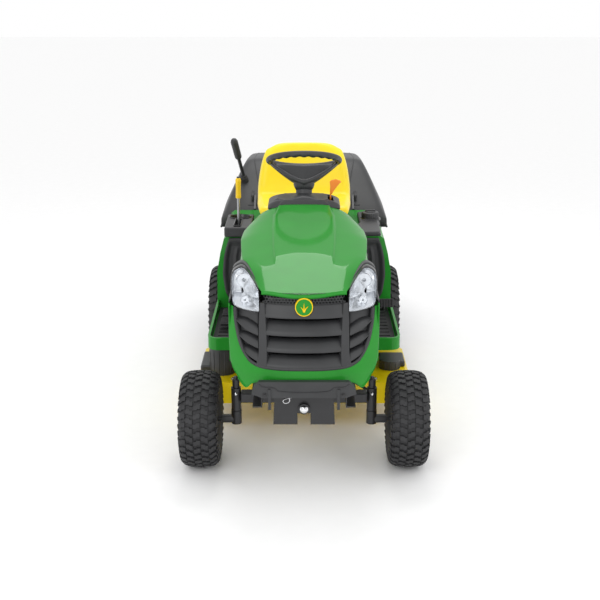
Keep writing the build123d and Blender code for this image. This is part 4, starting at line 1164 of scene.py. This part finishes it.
def resampled(points, count):
    """The same line as count points, evenly spaced along it."""
    lengths = [0.0]
    for a, b in zip(points, points[1:]):
        lengths.append(lengths[-1] + sum((p - q) ** 2 for p, q in zip(a, b)) ** 0.5)
    out, k = [], 0
    for i in range(count):
        s = lengths[-1] * i / (count - 1)
        while k < len(points) - 2 and lengths[k + 1] < s:
            k += 1
        u = (s - lengths[k]) / max(1e-9, lengths[k + 1] - lengths[k])
        out.append(tuple(p + (q - p) * u for p, q in zip(points[k], points[k + 1])))
    return out


STATIONS = resampled(cut_corners(COVER), 61)
COVER_FOOT = 606             # height of the skirt's lower edge


def cover_row(k, out=0.0):
    """Half a section of the hopper cover, from the skirt's foot up to the middle."""
    y, low, half, top = STATIONS[k]
    skirt = min(652.0, top - 14)
    line = [(low + out, COVER_FOOT), (low + out, skirt - 10), (low + out - 2, skirt + 2),
            (half + 8 + out, top - 16),
            (half - 18 + out, top + out), (half * 0.5, top + 3 + out), (0, top + 4 + out)]
    return [at(x, y, z) for x, z in resampled(cut_corners(line), 34)]


def hopper_cover():
    """The hopper's lid with its beads, hinge lugs, rim and lifting handle."""
    rows = []
    for k in range(61):
        half = cover_row(k)
        rows.append([Vector((-p.x, p.y, p.z)) for p in half] + half[-2::-1])
    foot = COVER_FOOT * MM
    front = [Vector((p.x, p.y - 0.001, foot)) for p in rows[0]]
    front_top = [Vector((p.x * 0.995, p.y - 0.001, foot + (p.z - foot) * 0.93)) for p in rows[0]]
    rear_top = [Vector((p.x * 0.985, p.y + 0.012, foot + (p.z - foot) * 0.95)) for p in rows[-1]]
    rear = [Vector((p.x * 0.985, p.y + 0.018, foot)) for p in rows[-1]]
    shape = grid([front, front_top] + rows + [rear_top, rear])
    obj = piece("hopper_cover_moulding", shape, "hopper", "black_plastic", replaces=("hopper_cover",),
                angle=50)
    thick(obj, 4.0)
    beads = []
    for side in (-1, 1):
        line = []
        for k in range(2, 59, 2):
            p = cover_row(k, 0.6)[19]
            line.append(Vector((side * p.x, p.y, p.z)))
        beads.append(tube(line, 2.4, 8))
        sweep = [cover_row(k, 0.6)[j] for k,
                 j in ((5, 14), (5, 16), (5, 18), (5, 21), (6, 24), (7, 27), (8, 30), (9, 33))]
        beads.append(tube([Vector((side * p.x, p.y, p.z)) for p in sweep], 2.4, 8))
    for k in (34, 42, 50):
        half = cover_row(k, 0.4)
        line = [half[j] for j in range(23, 34)]
        beads.append(tube([Vector((-p.x, p.y, p.z)) for p in line] + line[-2::-1], 2.8, 8))
    piece("hopper_cover_beads", joined(beads), "hopper", "black_plastic")
    outline = [(1512, 706), (1526, 700), (1585, 762), (1580, 770), (1526, 764), (1511, 758), (1507, 748)]
    lugs = [plate_yz(outline, x, 12) for x in (-270, 258)]
    rounded(piece("hopper_lugs", joined(lugs), "hopper", "black_steel"), 2.0)
    lip = tube([at(-424, 1446, 608), at(-426, 1700, 608), at(-426, 2000, 608), at(-416, 2100, 608),
                at(-400, 2116, 608),
                at(0, 2120, 608), at(400, 2116, 608), at(416, 2100, 608), at(426, 2000, 608),
                at(426, 1700, 608),
                at(424, 1446, 608)], 5, 10)
    handle = tube([at(-95, 2112, 745), at(-92, 2136, 738), at(-80, 2142, 734), at(80, 2142, 734),
                   at(92, 2136, 738),
                   at(95, 2112, 745)], 11, 14)
    piece("hopper_rim_and_handle", joined([lip, handle]), "hopper", "black_plastic")


BAG_TOP, BAG_FLOOR = 598, 276
BAG_MOUTH_HALF = 0.19        # half width in metres of the opening towards the chute
BAG_MOUTH_Y = 1560


def bag_point(u, v):
    """A point on the bag: u once round the plan, v from the top edge down to the floor's middle."""
    turn = 2 * pi * u
    c, s = cos(turn), sin(turn)
    if v < 0.7:
        drop = v / 0.7
        shrink = 1.0
        z = BAG_TOP - (BAG_TOP - BAG_FLOOR) * drop
        belly = 12 * sin(pi * drop) + 2.4 * sin(9 * turn + 5 * drop) * drop
    else:
        drop = 1.0
        shrink = max(0.0, (1 - v) / 0.3)
        z = BAG_FLOOR - 13 * (1 - shrink ** 2) + 2.0 * sin(7 * turn) * shrink
        belly = 2.4 * sin(9 * turn + 5) * shrink
    power = 7.0 if v < 0.7 else 4.0 + 3.0 * shrink
    r = (abs(c) ** power + abs(s) ** power) ** (-1 / power)
    half_x = (411 - 42 * drop) * shrink + belly
    half_y = (307 - 22 * drop) * shrink + belly
    return at(half_x * r * c, 1801 - 16 * drop * shrink + half_y * r * s, z)


def hopper_bag():
    """The mesh cloth bag, open towards the chute, with piping along its seams."""
    rows = []
    for j in range(49):
        v = j / 48
        rows.append([bag_point(i / 160, min(0.998, v)) for i in range(160)])
    verts, faces = grid(rows, close_u=True)
    kept = []
    for face in faces:
        mid = sum((verts[i] for i in face), Vector()) / len(face)
        mouth = abs(mid.x) < BAG_MOUTH_HALF and mid.z > 0.335 and mid.y < at(0, BAG_MOUTH_Y, 0).y
        if not mouth:
            kept.append(face)
    bag = piece("hopper_bag_cloth", (verts, kept), "hopper", "bag_fabric", replaces=("hopper_bag",),
                angle=180)
    seams = []
    for u in (0.125, 0.375, 0.625, 0.875):
        seams.append(tube([bag_point(u, 0.7 * i / 24) for i in range(25)], 3.0, 8))
    for v in (0.004, 0.7):
        ring = [bag_point(i / 160, v) for i in range(160)]
        if v > 0.5:
            seams.append(tube(ring + ring[:1], 3.0, 8))
        else:
            beside = [p for p in ring if not (abs(p.x) < BAG_MOUTH_HALF and p.y < at(0, BAG_MOUTH_Y, 0).y)]
            seams.append(tube(beside, 3.4, 8))
    piping = piece("hopper_bag_seams", joined(seams), "hopper", "bag_fabric")
    mouth = [at(-192, 1489, 600), at(-192, 1491, 352), at(-180, 1492, 338), at(180, 1492, 338),
             at(192, 1491, 352),
             at(192, 1489, 600)]
    hem = piece("hopper_bag_mouth", tube(mouth, 4.5, 10), "hopper", "bag_fabric")


# ---------------------------------------------------------------- fenders, consoles, pedals
def console_panels():
    """Black inner mouldings on the fenders' front walls, and the left filler console."""
    outer_x = [(404, 342), (430, 362), (520, 374), (600, 368), (660, 354), (692, 340)]
    rows = []
    for j in range(33):
        z = 408 + (694 - 408) * j / 32
        far = eased(outer_x, z, 16)
        row = []
        for i in range(29):
            u = i / 28
            x = 203 + (far - 203) * u
            edge = min(min(u, 1 - u) * 28, min(j, 32 - j))
            well = 7.0 * max(0.0, min(1.0, (edge - 2.0) / 2.0))
            rib = 4.0 * (edge > 5 and (0.38 < u < 0.46 or 0.62 < u < 0.7))
            row.append(at(x, 860 + well - rib, z))
        rows.append(row)
    thick(piece("console_fronts", both(grid(rows)), "chassis", "black_plastic", angle=70), 4.0)
    outline = [(236, 866), (344, 866), (352, 900), (354, 1040), (356, 1290), (262, 1290), (262, 1060),
               (236, 1000)]
    rows = [[at(x, y, z) for x, y in outline] for z in (700.5, 722)]
    shape = grid(rows, close_u=True, caps=True)
    rounded(piece("filler_console", shape, "chassis", "black_plastic"), 9.0, 4)
    neck = lathe([(0, 50), (6, 50), (9, 46), (12, 44)], at(318, 1150, 714), (0, 0, 1), 48)
    ring = []
    for r, z in ((52, 744), (53, 748), (49, 751), (46, 747), (45, 700)):
        ring.append([at(-300 + r * cos(2 * pi * i / 48), 1062 + r * 0.87 * sin(2 * pi * i / 48), z)
                     for i in range(48)])
    piece("console_rings", joined([neck, grid(ring, close_u=True)]), "chassis", "black_gloss")
    gate = [(-322, 872), (-286, 872), (-286, 1012), (-322, 1012)]
    inner = [(-318, 876), (-290, 876), (-290, 1008), (-318, 1008)]
    rows = [[at(x, y, z) for x, y in pts] for pts,
            z in ((gate, 744), (gate, 750), (inner, 750), (inner, 742))]
    rounded(piece("lever_gate", grid(rows, close_u=True), "chassis", "black_gloss"), 1.0)


def pedal_pads():
    """Rubber treads on the two drive pedals and the brake pedal."""
    for word, y0 in (("forward", 520), ("reverse", 640)):
        bars = [box_mesh(-360, -300, y0 + 6 + 11 * i, y0 + 11 + 11 * i, 399, 403.5) for i in range(7)]
        rounded(piece(f"{word}_pedal_tread", joined(bars), f"{word}_pedal", "rubber"), 1.2, 2)
    bars = []
    for i in range(5):
        x = 334 + 12 * i
        part = box_mesh(x, x + 5, -3, 3, -17, 17)
        bars.append(([Vector((v.x, v.y - AXLE_Y, v.z)) for v in part[0]], part[1]))
    turn = Matrix.Rotation(radians(-25), 3, "X")
    verts, faces = joined(bars)
    verts = [Vector((v.x, 0, 0)) + turn @ Vector((0, v.y, v.z)) + Vector((0, at(0, 596, 0).y, 0.467))
             for v in verts]
    rounded(piece("brake_pedal_tread", (verts, faces), "brake_pedal", "rubber"), 1.2, 2)


# ---------------------------------------------------------------- fasteners and running gear
def hex_bolt(centre, axis, across=6.0, high=5.0):
    """A hex head on a washer."""
    head = lathe([(0, across * 1.45), (1.4, across * 1.45), (1.4, across * 1.02), (high, across * 1.02),
                  (high + 1.0, across * 0.85), (high + 1.0, 0.1)], centre, axis, 6)
    washer = lathe([(0, across * 1.6), (1.5, across * 1.6), (1.5, 0.1)], centre, axis, 24)
    return joined([head, washer])


def bolts(name, body, places, axis, across=6.0, material="steel"):
    """Equal bolts as one piece."""
    piece(name, joined([hex_bolt(at(*p), axis, across) for p in places]), body, material, angle=20)


KINGPIN_X = 262
ARM_Y = 95                   # the tie rod's joints, behind the axle


def front_end():
    """Hardware of the bumper, its bracket, the axle and the steering rods."""
    line = [(-160, 449), (-150, 437), (-104, 437), (-92, 417), (92, 417), (104, 437), (150, 437), (160, 449)]
    smooth_line = resampled(cut_corners(line), 80)
    piece("bumper_bead", tube([at(x, -290.5, z) for x, z in smooth_line], 2.2, 8), "chassis", "black_steel")
    bolts("bumper_bolts", "chassis", [(x, -290, 408) for x in (-140, 140)], (0, -1, 0), 5.0, "black_steel")
    boss = lathe([(0, 15), (4, 15), (7, 12), (9, 9), (12, 8.5), (14, 6), (14.6, 0.1)], at(0, -218, 322),
                 (0, -1, 0), 32)
    piece("bracket_bolt", boss, "chassis", "chrome")
    clip = [at(-96, -224, 376), at(-60, -228, 374), at(-52, -229, 362), at(-58, -229, 352),
            at(-70, -228, 350),
            at(-76, -228, 358), at(-68, -228, 366), at(-40, -227, 372)]
    shape = tube([Vector(p) for p in smooth_through([tuple(c) for c in clip], 60)], 2.0, 8)
    piece("wire_clip", shape, "chassis", "steel")
    for side, word in ((1, "left"), (-1, "right")):
        parts = []
        x = side * KINGPIN_X
        parts.append(lathe([(0, 13), (4, 13), (7, 9), (12, 8), (13, 4), (13.5, 0.1)], at(x, 0, 350),
                           (0, 0, 1), 24))
        parts.append(lathe([(-5, 17), (0, 19), (4, 17), (7, 12)], at(x, ARM_Y, 220.5), (0, 0, 1), 24))
        piece(f"kingpin_cap_{word}", joined(parts), f"{word}_knuckle", "black_steel")
        shape = lathe([(0, 5), (5, 5), (6, 3.5), (9, 3), (11, 3.6), (12, 2)], at(x, -20, 300), (0, -1, 0), 12)
        piece(f"grease_nipple_{word}", shape, "front_axle", "chrome")
    nuts = []
    for x in (-KINGPIN_X, KINGPIN_X):
        nuts.append(hex_bolt(at(x, ARM_Y, 216), (0, 0, -1), 6.5))
        nuts.append(lathe([(0, 11), (3, 13), (9, 13), (12, 9)], at(x, ARM_Y, 246), (0, 0, 1), 24))
    piece("tie_rod_joints", joined(nuts), "tie_rod", "steel", angle=20)
    bolts("axle_pivot_bolt", "front_axle", [(0, -36, 282)], (0, -1, 0), 11.0)


def deck_details():
    """Bolts on the deck and ribs round the two black covers."""
    places = [(-300, 360, 207), (300, 360, 207), (0, 350, 207), (-180, 350, 207), (180, 350, 207)]
    bolts("deck_bolts", "mower_deck", places, (0, 0, 1), 6.0)
    rib_rows = []
    for count, mid_x, mid_y, r, foot, shoulder, top, thickness in (
        (14, -348, 452, 56, 212, 300, 318, 2.6),
        (12, 372, 500, 46, 210, 236, 244, 2.2),
    ):
        for k in range(count):
            c, s = cos(2 * pi * k / count), sin(2 * pi * k / count)
            x, y = mid_x + r * c, mid_y + r * s
            rib_rows.append(tube([at(x, y, foot), at(x, y, shoulder), at(x - 3 * c, y - 3 * s, top)],
                                 thickness, 8))
    piece("deck_cover_ribs", joined(rib_rows), "mower_deck", "black_plastic")


def engine_details():
    """Blower screen, cooling fins, oil filter, dipstick and battery posts under the hood."""
    centre = at(0, 230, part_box("engine_shroud")[1].z / MM)
    parts = [lathe([(0, 92), (5, 92), (8, 88), (8, 84), (0, 84)], centre, (0, 0, 1), 64),
             lathe([(0, 26), (7, 26), (9, 22), (9, 0.1)], centre, (0, 0, 1), 32)]
    for k in range(36):
        a = 2 * pi * k / 36
        inner = centre + Vector((cos(a) * 0.024, sin(a) * 0.024, 0.005))
        outer = centre + Vector((cos(a + 0.3) * 0.087, sin(a + 0.3) * 0.087, 0.005))
        parts.append(tube([inner, outer], 1.6, 6))
    for r in (42, 57, 71):
        ring = [centre + Vector((cos(2 * pi * i / 48) * r * MM, sin(2 * pi * i / 48) * r * MM, 0.006))
                for i in range(49)]
        parts.append(tube(ring, 1.3, 6))
    piece("blower_screen", joined(parts), "chassis", "black_plastic")
    fins = []
    for side in (-1, 1):
        for i in range(9):
            z = 440 + i * 11
            fins.append(box_mesh(*sorted((side * 148, side * 166)), 90, 250, z, z + 3.2))
    rounded(piece("cooling_fins", joined(fins), "chassis", "engine_alloy"), 0.8, 2)
    shape = lathe([(0, 30), (4, 33), (52, 33), (60, 28), (63, 14), (63, 0.1)], at(150, 330, 470),
                  (1, 0, -0.12), 32)
    piece("oil_filter", shape, "chassis", "yellow_plastic")
    shape = tube([at(-150, 340, 470), at(-168, 340, 500), at(-178, 340, 560), at(-180, 338, 640)], 6, 12)
    piece("dipstick_tube", shape, "chassis", "black_steel")
    shape = lathe([(0, 8), (2, 14), (14, 14), (17, 10), (18, 0.1)], at(-180, 338, 640), (0, 0, 1), 24)
    piece("dipstick_cap", shape, "chassis", "yellow_plastic")
    low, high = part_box("battery")
    posts = []
    for x in (-62, 62):
        posts.append(lathe([(0, 11), (8, 10), (8, 15), (20, 15), (22, 12), (22, 0.1)],
                           Vector((x * MM, (low.y + high.y) / 2, high.z - 0.004)), (0, 0, 1), 24))
    piece("battery_posts", joined(posts), "chassis", "grey_steel")


def studio_floor():
    """A wide white floor under the wheels."""
    size = 30.0
    mesh = bpy.data.meshes.new("studio_floor")
    mesh.from_pydata([(-size, -size, 0), (size, -size, 0), (size, size, 0), (-size, size, 0)], [],
                     [(0, 1, 2, 3)])
    floor = bpy.data.objects.new("studio_floor", mesh)
    bpy.context.scene.collection.objects.link(floor)
    floor.data.materials.append(surface("floor", (0.96, 0.96, 0.96), 0.8, spread=0.01, bump=0.0))


for build in (
    camera_and_lights, dress_cad_nodes, wheels,
    hood_top, hood_sides, chin, grille, honeycomb, badge, headlights,
    steering_wheel, dash, small_controls, levers, seat, seat_springs,
    hopper_cover, hopper_bag, console_panels, pedal_pads,
    front_end, deck_details, engine_details, studio_floor,
):
    build()
